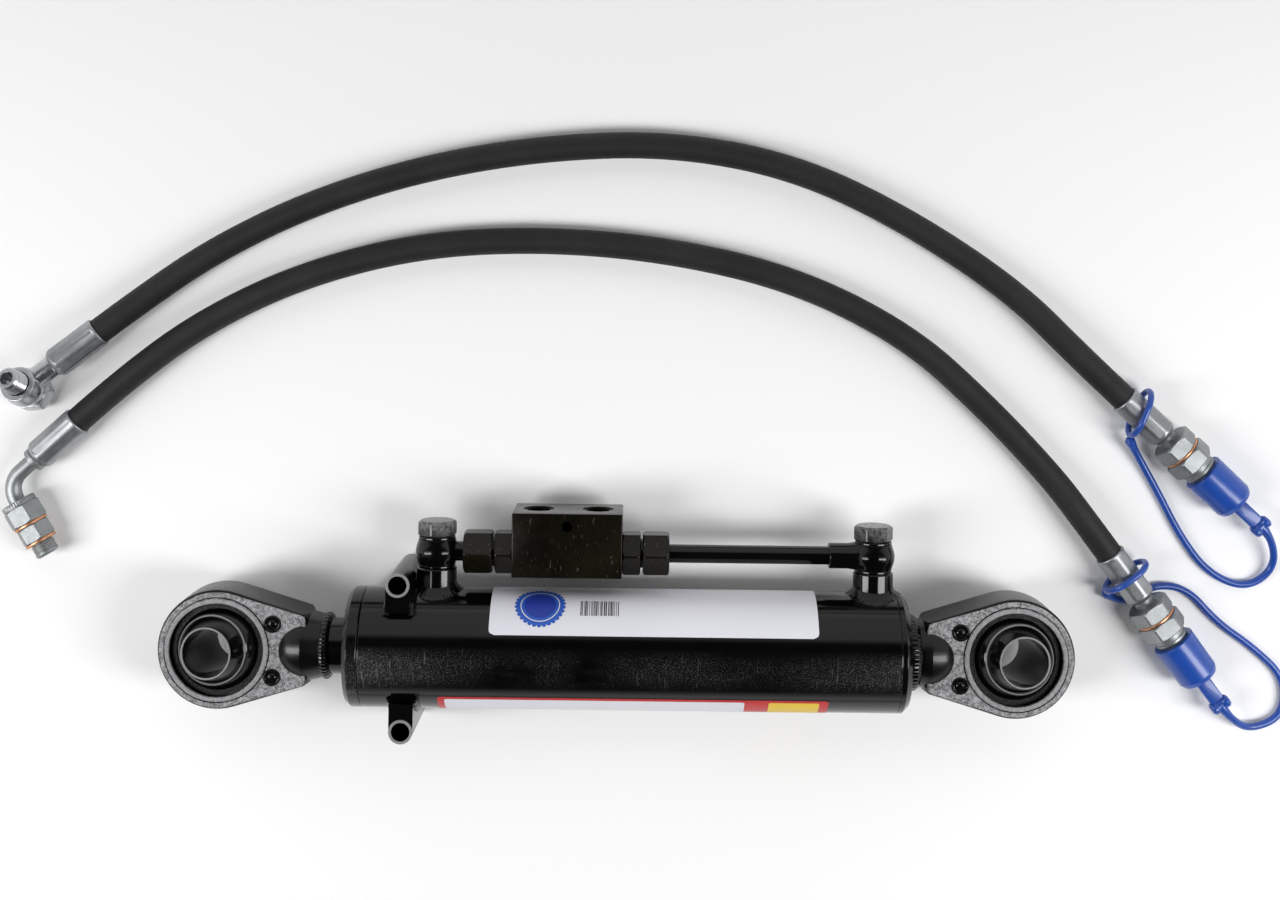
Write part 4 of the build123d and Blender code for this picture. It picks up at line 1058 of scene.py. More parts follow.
base_line = along_x(BASE_EYE, side=-1)
build("base_eye_bead", *turned(base_line, [
    (51.3, 17.6), (52.2, 19.0), (54.0, 20.3), (56.4, 20.6), (58.45, 20.3), (58.45, 16.0),
], segments=256, soft=1.2, shape=ripple), black_paint, slot="black_paint", stands_for=["base_weld"])
rod_line = along_x(ROD_EYE, side=1)
build("rod_eye_bead", *turned(rod_line, [
    (55.4, 16.4), (56.2, 17.2), (57.6, 17.9), (59.2, 17.9), (60.6, 16.6), (61.0, 15.02), (58.0, 15.02),
], segments=256, soft=1.0, shape=ripple), black_paint, body="rod", slot="black_paint", stands_for=["rod_weld"])
print("neck beads made")

# %% [markdown]
# ## Port bosses and their welds
# At each port a short round boss is welded upright on the barrel. The weld's foot follows the curve
# of the barrel, which a plain ring can't do. Rings that step from the boss outwards take their
# height from the barrel's circle, so that the fillet lies on it all the way round.

# %% Port bosses and their fillets
PORTS = {"rod": -317.3, "base": -76.5}
BOSS_LOW, BOSS_TOP, BOSS_ROUND, BOSS_BORE = 28, 44.5, 11, 4


def saddle_fillet(x, inner=11.0, outer=15.4, rise=4.4, segments=160, rows=10):
    rings = []
    for i in range(rows + 1):
        t = i / rows
        r = inner - 0.3 + (outer - inner + 0.3) * t
        ring = []
        for j in range(segments):
            angle = 2 * math.pi * j / segments
            reach = r + 0.22 * math.sin(17 * angle) * t + 0.18 * math.sin(31 * angle + 1) * t
            px, pz = reach * math.cos(angle), reach * math.sin(angle)
            barrel_top = math.sqrt(BARREL**2 - pz**2)
            lift = rise * (1 - t) ** 2 + 0.25 * abs(math.sin(22 * angle)) * (t > 0.3) * (t < 0.95)
            ring.append(Vector((x + px, barrel_top + lift - 0.25 * (t > 0.98), pz)))
        rings.append(ring)
    return skin(rings)


for name, x in PORTS.items():
    boss = turned(upright(x), [
        (BOSS_LOW, BOSS_BORE), (BOSS_LOW, BOSS_ROUND), (BOSS_TOP - 0.7, BOSS_ROUND),
        (BOSS_TOP, BOSS_ROUND - 0.8), (BOSS_TOP, BOSS_BORE),
    ], segments=96, soft=0.5)
    build(name + "_boss", *boss, black_paint, slot="black_paint", stands_for=[name + "_port_boss"])
    build(name + "_boss_fillet", *saddle_fillet(x), black_paint, slot="black_paint")
print("bosses at", PORTS)

# %% [markdown]
# ## Banjo rings
# Oil reaches each port through a ring with a side neck, which a hollow bolt clamps on the boss. The
# ring bulges round its channel. It is turned from one outline, and the neck is a second turned
# piece across it, because the two were soldered together.

# %% Banjos
LINE_Y = 53.0
RING_LOW, RING_TOP, RING_BORE = 46, 60, 6.6
ring_outline = [(RING_LOW, RING_BORE), (RING_LOW, 10.2), (RING_LOW + 0.8, 10.35)]
for k in range(9):
    ring_outline.append((RING_LOW + 1 + 12 * k / 8, 10.4 + 1.4 * math.sin(math.pi * k / 8)))
ring_outline += [(RING_TOP - 0.8, 10.35), (RING_TOP, 10.2), (RING_TOP, RING_BORE)]

rod_banjo = merge(
    turned(upright(PORTS["rod"]), ring_outline, soft=0.3),
    ring_piece(along_x(PORTS["rod"], LINE_Y), 9, 21.8, 3.5, 5.4, soft=0.4, segments=48),
)
build("rod_side_ring", *rod_banjo, black_paint, slot="black_paint", stands_for=["rod_side_banjo"])
sleeve = turned(along_x(PORTS["base"], LINE_Y, -1), [
    (8.5, 3.6), (24.8, 3.6), (24.8, 6.4), (24.2, 7.0), (14, 7.0), (10.5, 7.6), (8.5, 8.2),
], soft=0.4, segments=64)
base_banjo = merge(turned(upright(PORTS["base"]), ring_outline, soft=0.3), sleeve)
build("base_side_ring", *base_banjo, black_paint, slot="black_paint", stands_for=["base_side_banjo"])
print("banjo rings made")

# %% [markdown]
# ## Hollow bolts and washers
# A hollow bolt holds the ring between two sealing washers. The head is what shows, at the angle to
# which it was tightened, and the shank runs on inside the ring. Head and shank are two turned
# shapes in one mesh.

# %% Bolts and washers
TURNS = {"rod": 18.0, "base": 2.0}
WASHER, HEAD_TOP, HEAD_FLATS, SHANK = 1.5, 70, 19, 6.5
for name, x in PORTS.items():
    line = upright(x)
    head = merge(
        hexagon(line, RING_TOP + WASHER, HEAD_TOP, HEAD_FLATS, 0, TURNS[name], bevel=1.1),
        rod_piece(line, 34.6, 61.6, SHANK, segments=48),
    )
    stands = ["banjo_bolts"] if name == "rod" else ()
    build(name + "_hollow_bolt", *head, bolt_paint, slot="black_paint", stands_for=stands)
    rings = merge(
        ring_piece(line, RING_LOW - WASHER, RING_LOW, 6.7, 10.1, soft=0.5),
        ring_piece(line, RING_TOP, RING_TOP + WASHER, 6.7, 10.1, soft=0.5),
    )
    stands = ["port_washers"] if name == "rod" else ()
    build(name + "_seal_washers", *rings, black_paint, slot="black_paint", stands_for=stands)
print("bolts and washers made")

# %% [markdown]
# ## The line between the ports
# On the rod side an adapter and a union nut lead straight from the ring into the valve block. On
# the base side the same pair takes a thin pipe that runs along the barrel. All of it lies on one
# axis, so a loop places both pairs by their distance from the block's ends.

# %% Adapters, union nuts and pipe
BLOCK_MID, BLOCK_HALF = -245.0, 30.0
NUT_FLATS = 22
for name, side, nut in (("rod", -1, 16.0), ("base", 1, 14.6)):
    line = along_x(BLOCK_MID + side * BLOCK_HALF, LINE_Y, side)
    adapter = merge(
        hexagon(line, 0.1, 10, NUT_FLATS, 3.5, bevel=0.9),
        ring_piece(line, -10, 0.2, 5.3, 6.5, segments=48), ring_piece(line, 9.9, 20.5, 3.5, 8, segments=64),
    )
    build(name + "_adapter", *adapter, oxide, slot="black_oxide", stands_for=[name + "_side_adapter"])
    union = hexagon(line, 11.2, 11.2 + nut, NUT_FLATS, 5.5, bevel=1.1)
    build(name + "_union_nut", *union, oxide, slot="black_oxide", stands_for=[name + "_side_union_nut"])
pipe = ring_piece(along_x(0, LINE_Y), -194.5, -90.4, 3.5, 5, segments=64)
build("line_pipe", *pipe, black_paint, slot="black_paint", stands_for=["cross_pipe"])
print("line from the block at", BLOCK_MID, "to the port at", PORTS["base"])

# %% [markdown]
# ## The check valve block
# The block holds a check valve for each side of the piston, which keeps the link at its length. It
# is sawn and milled from a bar. A cube with rounded edges is the bar, and the drills are pins: two
# ports with a spot face, a fixing hole across, and the long hole that the valves sit in.

# %% Valve block
BLOCK_TOP, BLOCK_SIDE = 77.0, 35.0
PORT_ASIDE, PORT_ROUND, PORT_DEPTH, SPOT_FACE = 16.35, 6.6, 12.6, 8.5
HOLE_UP, HOLE_ROUND = 70, 2.85

middle = Line((BLOCK_MID, BLOCK_TOP - BLOCK_SIDE / 2, 0), (0, 0, 1), (1, 0, 0))
hole = Line((BLOCK_MID, HOLE_UP, 0), (0, 0, 1), (1, 0, 0))
valve = build("check_valve_block", *block(middle, (2 * BLOCK_HALF, BLOCK_SIDE, BLOCK_SIDE), 0.7), oxide,
              slot="black_oxide", stands_for=["valve_block"])
drills = []
for aside in (-PORT_ASIDE, PORT_ASIDE):
    port = upright(BLOCK_MID + aside)
    drills.append(rod_piece(port, BLOCK_TOP - 0.6, BLOCK_TOP + 3, SPOT_FACE, soft=0.01, segments=72))
    drills.append(rod_piece(port, BLOCK_TOP - PORT_DEPTH, BLOCK_TOP + 2, PORT_ROUND, soft=0.01, segments=72))
drills.append(rod_piece(hole, -30, 30, HOLE_ROUND, soft=0.01, segments=48))
drills.append(rod_piece(along_x(BLOCK_MID, LINE_Y), -40, 40, PORT_ROUND, soft=0.01, segments=48))
cut(valve, drills)
# The fixing hole gets a near-black liner, a painted shade that keeps it dark.
wall = ring_piece(hole, -17.2, 17.2, 2.6, HOLE_ROUND - 0.02, segments=48, soft=0.05)
build("fixing_hole_shade", *wall, bore_shade_film, slot="black_oxide")
print("block has", len(valve.data.polygons), "faces")

# %% [markdown]
# ## Holder sleeves
# Beside the gland two short sleeves stand across the barrel, where a holder for the idle link can
# go through. Each sits on a shaped lug, which keeps its CAD mesh, and the welds along the lug are
# swept here. The sleeve's ends carry a painted sheen, and the bore has a near-black shell without
# reflection, a painted shade that keeps the hole dark beside the grey end.

# %% Sleeves and lugs
SLEEVE_OUT, SLEEVE_HALF, SLEEVE_BORE, SLEEVE_ROUND = 39.2, 28, 5, 6.5
LUG_HALF, BEAD_ROUND, BEAD_HALF = 6.6, 1.9, 24


def bead_radius(i, angle):
    """A bead that swells and shrinks along its way and is thinner at both ends."""
    return BEAD_ROUND + 0.3 * abs(math.sin(0.7 * i)) - 0.5 * (i in (0, 2 * BEAD_HALF))


for name, x, side in (("upper", -335.0, 1), ("lower", -332.5, -1)):
    line = Line((x, side * SLEEVE_OUT, 0), (0, 0, 1), (1, 0, 0))
    sleeve = ring_piece(line, -SLEEVE_HALF, SLEEVE_HALF, SLEEVE_BORE, SLEEVE_ROUND, segments=72, soft=0.35)
    # The sleeve's ends carry a painted sheen in their grey.
    build(name + "_sleeve", *sleeve, sleeve_paint, slot="black_paint", stands_for=[name + "_holder_sleeve"])
    # A near-black liner in the bore is painted shade.
    build(name + "_sleeve_bore", *ring_piece(line, -27.5, 27.5, 4.82, 4.98, segments=72, soft=0.05), bore_shade_film,
          slot="black_paint")
    beads = []
    for edge in (-LUG_HALF, LUG_HALF):
        path = [
            Vector((x + edge, side * math.sqrt(BARREL**2 - z**2), z)) for z in range(-BEAD_HALF, BEAD_HALF + 1)
        ]
        beads.append(swept(path, BEAD_ROUND, 16, shape=bead_radius))
    build(name + "_lug_beads", *merge(*beads), black_paint, slot="black_paint")
print("sleeves and lug welds made")

# %% [markdown]
# ## Films that follow the barrel
# A label bends round the barrel. A flat sheet could be wrapped on it by a modifier, which shifts
# its edges. Here every point of a film is worked out from its place along the barrel and its angle
# round it, so that it lies at an even height over the paint.


# %% Film on the barrel
def on_barrel(x, angle, lift):
    r = BARREL + lift
    return Vector((x, r * math.sin(angle), r * math.cos(angle)))


def label(name, material, low, high, ends, lift, rows=48, columns=24):
    """A film between two angles in degrees; ends(share) gives its two ends along X at a share of the way."""
    rings = []
    for i in range(rows + 1):
        share = i / rows
        angle = math.radians(low + (high - low) * share)
        x0, x1 = ends(share)
        rings.append([on_barrel(x0 + (x1 - x0) * j / columns, angle, lift) for j in range(columns + 1)])
    points = [p for ring in rings for p in ring]
    width = columns + 1
    faces = []
    for i in range(rows):
        for j in range(columns):
            a = i * width + j
            faces.append((a, a + 1, a + 1 + width, a + width))
    return build(name, points, faces, material, slot="black_paint", sharp=80)


def rounded(x0, x1, corner, height):
    """Ends of a rectangle with rounded corners; height is its size round the barrel."""
    def ends(share):
        s = min(share, 1 - share) * height
        inset = 0.0
        if s < corner:
            inset = corner - math.sqrt(corner**2 - (corner - s) ** 2)
        return x0 + inset, x1 - inset
    return ends


print("films ready for a barrel of", 2 * BARREL, "mm")


# %% Round films
def round_film(name, material, x, angle, inner, outer, lift, wave=0.0, count=1, steps=360):
    """A ring or disc of film round a middle point; its edge is scalloped if it has a wave."""
    rings = []
    for share in (0, 0.25, 0.5, 0.75, 1):
        ring = []
        for j in range(steps):
            turn = 2 * math.pi * j / steps
            edge = outer - wave + wave * math.sqrt(abs(math.sin(count * turn / 2)))
            reach = inner + (edge - inner) * share
            round_barrel = math.radians(angle) + reach * math.sin(turn) / BARREL
            ring.append(on_barrel(x + reach * math.cos(turn), round_barrel, lift))
        rings.append(ring)
    return build(name, *skin(rings), material, slot="black_paint", sharp=80)


print("round films ready")

# %% [markdown]
# ## The white label
# The label on the upper side is a white panel with rounded corners and a round blue seal with a
# scalloped edge. The seal is three films, one over the other, each a little higher so that none of
# them flickers through the next.

# %% White label
FIRST_FILM, SECOND_FILM, THIRD_FILM = 0.12, 0.2, 0.24
label("white_label", white_film, 25.3, 112, rounded(-285.8, -108.9, 3, 49), FIRST_FILM)
SEAL_X, SEAL_ANGLE = -258.9, 57.5
round_film("blue_seal", blue_film, SEAL_X, SEAL_ANGLE, 0.1, 13.9, SECOND_FILM, 1.5, 30)
round_film("seal_ring", white_film, SEAL_X, SEAL_ANGLE, 10.2, 10.7, THIRD_FILM)
round_film("seal_middle", dark_blue_film, SEAL_X, SEAL_ANGLE, 0.1, 8.6, THIRD_FILM)
print("white label with a seal at", SEAL_X)

# %% [markdown]
# ## A row of bars
# Next to the seal stands a row of dark upright bars. They could be one patterned material, but
# their edges would blur when it is baked. Each bar is a narrow film, and the widths and gaps are
# drawn at random from a fixed seed, so that they come out alike on each run.

# %% Bars on the white label
BARS_START, BARS_END = -237.0, -215.6
x = BARS_START
bars = 0
while x < BARS_END:
    width = random.choice((0.25, 0.4, 0.6))
    label(f"bar_{bars}", dark_film, 45.5, 63.5, lambda share, a=x, b=x + width: (a, b), SECOND_FILM,
          rows=6, columns=1)
    x += width + random.choice((0.35, 0.5, 0.8))
    bars += 1
print(bars, "plain bars")

# %% [markdown]
# ## The red strip
# Low on the front lies a red strip with a long white panel and a yellow one. It is built like the
# label, with the panels as films over the red one, and it runs on round the barrel to where the
# camera no longer sees it.

# %% Red strip
label("red_strip", red_film, -98, -39.1, rounded(-313.4, -103.0, 1.5, 33), FIRST_FILM)
label("blank_white_panel", white_film, -96, -42.5, rounded(-309.7, -148.1, 1, 30), SECOND_FILM)
label("blank_yellow_panel", yellow_film, -96, -42.5, rounded(-135.1, -107.8, 1, 30), SECOND_FILM)
print("strip made")

# %% [markdown]
# ## The hoses
# Two rubber hoses lie in wide arcs beside the link. Their routes are the points of the CAD part,
# and the hose is swept along the smooth line that they control. A physics run could
# lay them too, but it would not give the arcs that the photograph shows.

# %% Hose routes
UPPER_ROUTE = [
    (-512.5, 170.5, -19.8), (-488, 190, -23.2), (-448, 218, -25.0), (-394, 245, -25.0),
    (-329, 266, -25.0), (-260, 278, -25.0), (-190, 281, -25.0), (-121, 269, -25.0),
    (-59, 241, -25.0), (5, 200, -24.6), (43.1, 161.8, -20.0), (67.2, 139.8, -20.0),
]
LOWER_ROUTE = [
    (-524.3, 119.8, -21.5), (-500, 142, -21.5), (-456, 176, -25.0), (-399, 204, -25.0),
    (-331, 222, -25.0), (-259, 226, -25.0), (-187, 220, -25.0), (-117, 204, -25.0),
    (-54, 173, -25.0), (-10, 134, -25.0), (27.5, 94.9, -24.4), (43, 74.3, -20.0),
    (59.9, 51.9, -20.0),
]
HOSE_ROUND = 7.5
hoses = {}
for name, route in (("upper", UPPER_ROUTE), ("lower", LOWER_ROUTE)):
    path = smooth_line(name + "_hose_line", route, 18)
    made = build(name + "_rubber_hose", *swept(path, HOSE_ROUND, 40), rubber, slot="hose_rubber",
                 stands_for=[name + "_hose"])
    hoses[name] = (made, path)
    print(name, "hose", round(path_length(path), 1), "mm")

# %% [markdown]
# ## Ferrules
# At each end of a hose a steel ferrule is crimped on. Eight jaws press eight flats into it, with
# ridges between them. The ferrule could be an eight-sided cylinder, but its ends stay round on the
# real one. So a turned piece gets its flats only between the jaws' two ends.

# %% Ferrules
FERRULE, NECK = 8.65, 31
JAWS_START, JAWS_END, CRIMPED = 1.5, 28.5, 8.28


def crimp(s, r, angle, jaws=8):
    """The flats that the crimping jaws press into a ferrule."""
    if r < 8 or not JAWS_START <= s <= JAWS_END:
        return r
    half = math.pi / jaws
    return min(r, CRIMPED / math.cos((angle + 0.2) % (2 * half) - half))


def ends_of(route):
    first = Line(route[0], Vector(route[0]) - Vector(route[1]))
    last = Line(route[-1], Vector(route[-1]) - Vector(route[-2]))
    return first, last


ferrule_outline = [
    (0, 3.5), (0, 8.3), (0.6, FERRULE), (1.4, FERRULE), (2.2, FERRULE), (27.6, FERRULE), (28.6, 8.5),
    (29.6, 7.9), (NECK, 6.6), (NECK, 3.5),
]
for name, route in (("upper", UPPER_ROUTE), ("lower", LOWER_ROUTE)):
    shells = [turned(line, ferrule_outline, segments=120, soft=0.4, shape=crimp) for line in ends_of(route)]
    stands = ["hose_ferrules"] if name == "upper" else ()
    build(name + "_ferrules", *merge(*shells), zinc, slot="zinc_plate", stands_for=stands)
print("ferrules made")

# %% [markdown]
# ## Couplers
# The right end of a hose carries a nut, a copper washer and the plug half of a quick coupler, with
# a hollow for its valve. Stations are counted from the hose end of the ferrule, as a fitter would
# stack the pieces, and a function builds one set for a line, because both hoses have the same.

# %% Couplers
NUT_FACE, WASHER_FACE, BODY_FACE, COLLAR_FACE = 35, 43.7, 45.2, 54.2
CHAMBER, CHAMBER_END = 59.2, 77


def coupler(name, line):
    nut = merge(
        ring_piece(line, NECK, 35.2, 3.5, 6, segments=64),
        hexagon(line, NUT_FACE, WASHER_FACE, NUT_FLATS, 3.5, bevel=1.0),
    )
    body = merge(
        hexagon(line, BODY_FACE, COLLAR_FACE, 23, 3.5, bevel=1.0),
        turned(line, [
            (54.1, 3.5), (54.1, 9.9), (56.2, 9.9), (56.5, 9.1), (57.4, 9.1), (57.7, 9.6), (59.2, 9.6),
            (59.5, 8.9), (60.2, 8.6), (67.2, 8.6), (68.4, 7.2), (70, 7.2), (71.2, 8.6), (78, 8.6),
            (80, 6.8), (80, 4),
            (CHAMBER_END, 4), (CHAMBER_END, 6), (CHAMBER, 6), (CHAMBER, 3.5),
        ], segments=120, soft=0.2),
    )
    washer = ring_piece(line, WASHER_FACE, BODY_FACE, 6, 11.2, soft=0.5)
    stands = ["coupler_nuts"] if name == "upper" else ()
    return [
        build(name + "_hose_nut", *nut, satin_zinc, slot="zinc_plate", stands_for=stands),
        build(name + "_coupler", *body, satin_zinc, slot="zinc_plate", stands_for=[name + "_coupler_body"]),
        build(name + "_copper_washer", *washer, copper, slot="copper"),
    ]


ends = {name: ends_of(route) for name, route in (("upper", UPPER_ROUTE), ("lower", LOWER_ROUTE))}
couplers = {name: coupler(name, ends[name][1]) for name in ends}
print("couplers", {name: len(pieces) for name, pieces in couplers.items()})

# %% [markdown]
# ## Dust caps
# A soft blue cap covers the nose of each coupler. It is hollow, because it slides off in the poses,
# and a flat tab leads to the knuckle that holds the strap. Turned shell, tab and knuckle are one
# moulding, so they are one mesh.

# %% Dust caps
CAP_MOUTH, CAP_TOP, CAP_BORE, CAP_INSIDE = 60.5, 87, 8.65, 83.8
TAB_MIDDLE, KNUCKLE = 94.5, 105.5


def soft_cap(name, line):
    shell = turned(line, [
        (CAP_MOUTH, CAP_BORE), (CAP_MOUTH, 12.0), (83.4, 11.7), (86.0, 10.6), (CAP_TOP, 8.4), (CAP_TOP, 0),
        (CAP_INSIDE, 0), (CAP_INSIDE, CAP_BORE),
    ], segments=96, soft=0.6)
    tab = block(Line(line.at(TAB_MIDDLE), line.z, line.x), (8.6, 3.6, 18), 1.5)
    knob = turned(Line(line.at(KNUCKLE), line.x, line.z), [
        (-5.9, 0), (-5.9, 2.4), (-4.4, 3.9), (-2.8, 3.6), (-1.2, 3.0), (1.2, 3.0), (2.8, 3.6), (4.4, 3.9),
        (5.9, 2.4), (5.9, 0),
    ], segments=48, soft=1.4, closed=False)
    return build(name + "_soft_cap", *merge(shell, tab, knob), vinyl, body=name + "_cap", slot="blue_pvc",
                 stands_for=[name + "_dust_cap"])


caps = {name: soft_cap(name, ends[name][1]) for name in ends}
print("caps", [cap.name for cap in caps.values()])

# %% [markdown]
# ## The routes of the straps
# A strap runs from the loop round its hose out over the table and back to its cap's knuckle. The
# points are those of the CAD part. The strap is moulded in one with the loop and the knuckle and
# swells where it meets them, so its radius is a function of the way along it.

# %% Strap routes
UPPER_STRAP = [
    (145.3, 68.5, -20.0), (151.8, 62.6, -20.4), (157.0, 43.5, -28.5), (141.0, 31.0, -30.2),
    (119.0, 40.0, -30.2), (103.0, 61.0, -30.2), (90.0, 86.0, -30.2), (77.6, 106.7, -28.0),
    (70.5, 117.4, -22.0),
]
LOWER_STRAP = [
    (123.9, -33.0, -20.0), (128.8, -39.5, -20.4), (143.0, -49.0, -28.5), (163.0, -41.5, -30.2),
    (164.0, -19.5, -30.2), (146.0, -2.5, -30.2), (124.5, 12.0, -30.2), (107.5, 31.0, -30.2),
    (88.5, 33.0, -30.2), (76.5, 24.0, -30.2), (66.5, 23.8, -29.6), (58.6, 29.6, -26.5),
]
STRAP_ROUND = 2.1


def thick_ends(path):
    """The strap's radius at each point: it swells where it is moulded to its loop and its knuckle."""
    from_loop = [0.0]
    for a, b in zip(path, path[1:]):
        from_loop.append(from_loop[-1] + (b - a).length)
    whole = from_loop[-1]

    def radius(i, angle):
        loop, knuckle = from_loop[i], whole - from_loop[i]
        round_end = math.sqrt(min(1.0, (loop + 0.4) / 2.5))
        swelling = 1.1 * math.exp(-((loop / 6) ** 2)) + 0.9 * math.exp(-((knuckle / 6) ** 2))
        return round_end * (STRAP_ROUND + swelling)
    return radius


print("strap routes of", len(UPPER_STRAP), "and", len(LOWER_STRAP), "points")

# %% [markdown]
# ## Straps and loops
# When a cap is pulled off, the strap's one end goes with it and the other stays. A strap on one
# body would tear at the other end, so it rides on no body and keeps its points where they were
# built. The loop is a stretched ring that hangs round the ferrule.

# %% Straps and loops
LOOPS = {"upper": (12.0, -20.0), "lower": (15.5, 0.0)}
LOOP_ROUND, LOOP_WIRE, LOOP_STRETCH = 10.75, 1.75, 2.65
straps = {}
for name, route in (("upper", UPPER_STRAP), ("lower", LOWER_STRAP)):
    path = smooth_line(name + "_strap_line", route, 14)[::-1]
    tube = swept(path, STRAP_ROUND, 24, shape=thick_ends(path))
    made = build(name + "_vinyl_strap", *tube, vinyl, body=None, slot="blue_pvc", stands_for=[name + "_strap"])
    name + "_cap"
    [c * 0.001 for c in path[0]]
    [c * 0.001 for c in path[-1]]
    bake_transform(made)
    straps[name] = (made, path)
    line = ends[name][1]
    station, turn = LOOPS[name]
    ring = []
    for k in range(96):
        a = 2 * math.pi * k / 96
        stretched = math.copysign(LOOP_STRETCH, math.cos(a)) * min(1.0, abs(math.cos(a)) * 6)
        x, y = LOOP_ROUND * math.cos(a) + stretched, LOOP_ROUND * math.sin(a)
        t = math.radians(turn)
        ring.append(line.at(station - x * math.sin(t), x * math.cos(t), y))
    build(name + "_vinyl_loop", *swept(ring, LOOP_WIRE, 20, closed=True), vinyl, slot="blue_pvc",
          stands_for=[name + "_strap_loop"])
    print(name, "strap", round(path_length(path), 1), "mm")

# %% [markdown]
# ## The elbow at the end of the lower hose
# The lower hose ends in a bent tube with a knurled nut, an adapter and two copper washers. The tube
# is swept along its bent line, and the rest is turned along the line that leaves the bend. The
# thread at the end is cut as rings, because it shows.

# %% Elbow
ELBOW_LEG, ELBOW_TURN, ELBOW_BEND, ELBOW_ROUND = 22.6, math.radians(79), 13, 4.5
ELBOW_NUT, ELBOW_WASHER, ELBOW_HEX, ELBOW_SEAL = 14.6, 25.6, 27.1, 36.6
start = ends["lower"][0]
corner = start.at(NECK + ELBOW_LEG)
onward = Line(corner, Matrix.Rotation(ELBOW_TURN, 3, "Z") @ start.z)
bend = pipe_bend(start.at(NECK), corner, onward.at(ELBOW_NUT), ELBOW_BEND)
tube = merge(swept(bend, ELBOW_ROUND, 40), ring_piece(start, NECK, 34, 3, 7, soft=0.5, segments=64))
elbow = [build("elbow_pipe", *tube, satin_zinc, slot="zinc_plate", stands_for=["lower_elbow_tube"])]


def ribs(s, r, angle):
    """The knurl round the back of the elbow's nut."""
    return r + (0.2 * math.sin(40 * angle) if s < 14.4 and r > 9 else 0)


nut = merge(
    turned(onward, [(11.6, 4.6), (11.6, 9.0), (12.2, 9.5), (14.8, 9.5), (14.8, 4.6)], segments=200, shape=ribs),
    hexagon(onward, ELBOW_NUT, ELBOW_WASHER, 19, 6, bevel=1.0),
)
elbow.append(build("elbow_nut", *nut, satin_zinc, slot="zinc_plate", stands_for=["lower_elbow_nut"]))
rings = merge(
    ring_piece(onward, ELBOW_WASHER, ELBOW_HEX, 6.1, 9.5, soft=0.5),
    ring_piece(onward, ELBOW_SEAL, ELBOW_SEAL + 1.5, 6.65, 8.9, soft=0.5),
)
elbow.append(build("elbow_copper_washers", *rings, copper, slot="copper", stands_for=["hose_washers"]))
nozzle = merge(
    hexagon(onward, ELBOW_HEX, ELBOW_SEAL, 17, 3, bevel=0.8),
    turned(onward, [
        (36.5, 3), (36.5, 5.65), (38.7, 5.65), (38.8, 6.5), *thread(38.9, 44.9, 6.55),
        (45, 6.5), (46.1, 5.6), (46.1, 5.2), (42.1, 3),
    ], segments=96, soft=0.12),
    ring_piece(onward, 15.1, 27.2, 3, 5.9, segments=48),
)
elbow.append(build("elbow_end", *nozzle, satin_zinc, slot="zinc_plate", stands_for=["lower_elbow_adapter"]))
print("elbow has", len(elbow), "pieces")

# %% [markdown]
# ## The ring at the end of the upper hose
# The upper hose ends in a ring with a hollow bolt through it, which leans as the hose lies on the
# table. All its pieces share one leaning line, so that a single angle tilts the bolt, the washers
# and the ring together.

# %% Hose banjo
BANJO_MIDDLE, BANJO_HALF, BANJO_WASHER, BOLT_LEAN = 51, 6.5, 1.5, math.radians(20)
start = ends["upper"][0]
level = start.z.cross(Vector((0, 0, 1))).normalized()
up = level.cross(start.z)
bolt_line = Line(start.at(BANJO_MIDDLE), up * math.cos(BOLT_LEAN) + level * math.sin(BOLT_LEAN), start.z)
outline = [(-BANJO_HALF, 7.2), (-BANJO_HALF, 9.4), (-5.7, 9.6)]
outline += [(-5.7 + 11.4 * k / 8, 9.6 + 1.4 * math.sin(math.pi * k / 8)) for k in range(1, 8)]
outline += [(5.7, 9.6), (BANJO_HALF, 9.4), (BANJO_HALF, 7.2)]
ring = merge(turned(bolt_line, outline, soft=0.3), ring_piece(start, NECK, 42, 3.5, 6.3, segments=64, soft=0.5))
banjo = [build("hose_ring", *ring, bright_zinc, slot="zinc_plate", stands_for=["upper_hose_banjo"])]
shank = [
    (-7, 0), (-7, SHANK), (-5.5, SHANK), (-4.5, 5.65), (8.6, 5.65), (8.7, SHANK), *thread(8.8, 18.5, 6.55),
    (18.6, SHANK), (20, 5.2), (20, 3.7), (8, 3.6), (8, 0),
]
bolt = merge(
    turned(bolt_line, shank, segments=96, soft=0.12, closed=False),
    hexagon(bolt_line, -16, -8, HEAD_FLATS, 0, 24, bevel=1.0),
    rod_piece(bolt_line, -8.1, -6.9, SHANK, segments=48),
)
banjo.append(build("hose_bolt", *bolt, bright_zinc, slot="zinc_plate", stands_for=["upper_hose_bolt"]))
rings = merge(
    ring_piece(bolt_line, -BANJO_HALF - BANJO_WASHER, -BANJO_HALF, 6.7, 9.8, soft=0.5),
    ring_piece(bolt_line, BANJO_HALF, BANJO_HALF + BANJO_WASHER, 6.7, 9.8, soft=0.5),
)
banjo.append(build("hose_seal_washers", *rings, bright_zinc, slot="zinc_plate"))
print("hose banjo has", len(banjo), "pieces")

# %% [markdown]
# ## Cords
# A hose and a strap are flexible. For each, the pieces that hang on it and its line in metres are
# gathered here. The lengths are measured on the lines that the meshes were swept along, so that
# they can't disagree with them.

for name, (made, path) in hoses.items():
    riding = [*couplers[name], caps[name], *(elbow if name == "lower" else banjo)]
    riding.append(bpy.data.objects[name + "_ferrules"])
    metres = [[c * 0.001 for c in p] for p in path]
    path_length(path) * 0.001
for name, (made, path) in straps.items():
    metres = [[c * 0.001 for c in p] for p in path]
    path_length(path) * 0.001
    bpy.data.objects[name + "_vinyl_loop"]

# %% [markdown]
# ## Springs in the valves
# Behind each valve sits a coil spring, which gets shorter when the valve opens. Riding on one body,
# its coils would cut through the valve. Each coil is wound between its fixed and its moving
# station and gets a mesh of its own.

# %% Springs
SPRING_WIRE, SPRING_TURNS = 0.45, 4


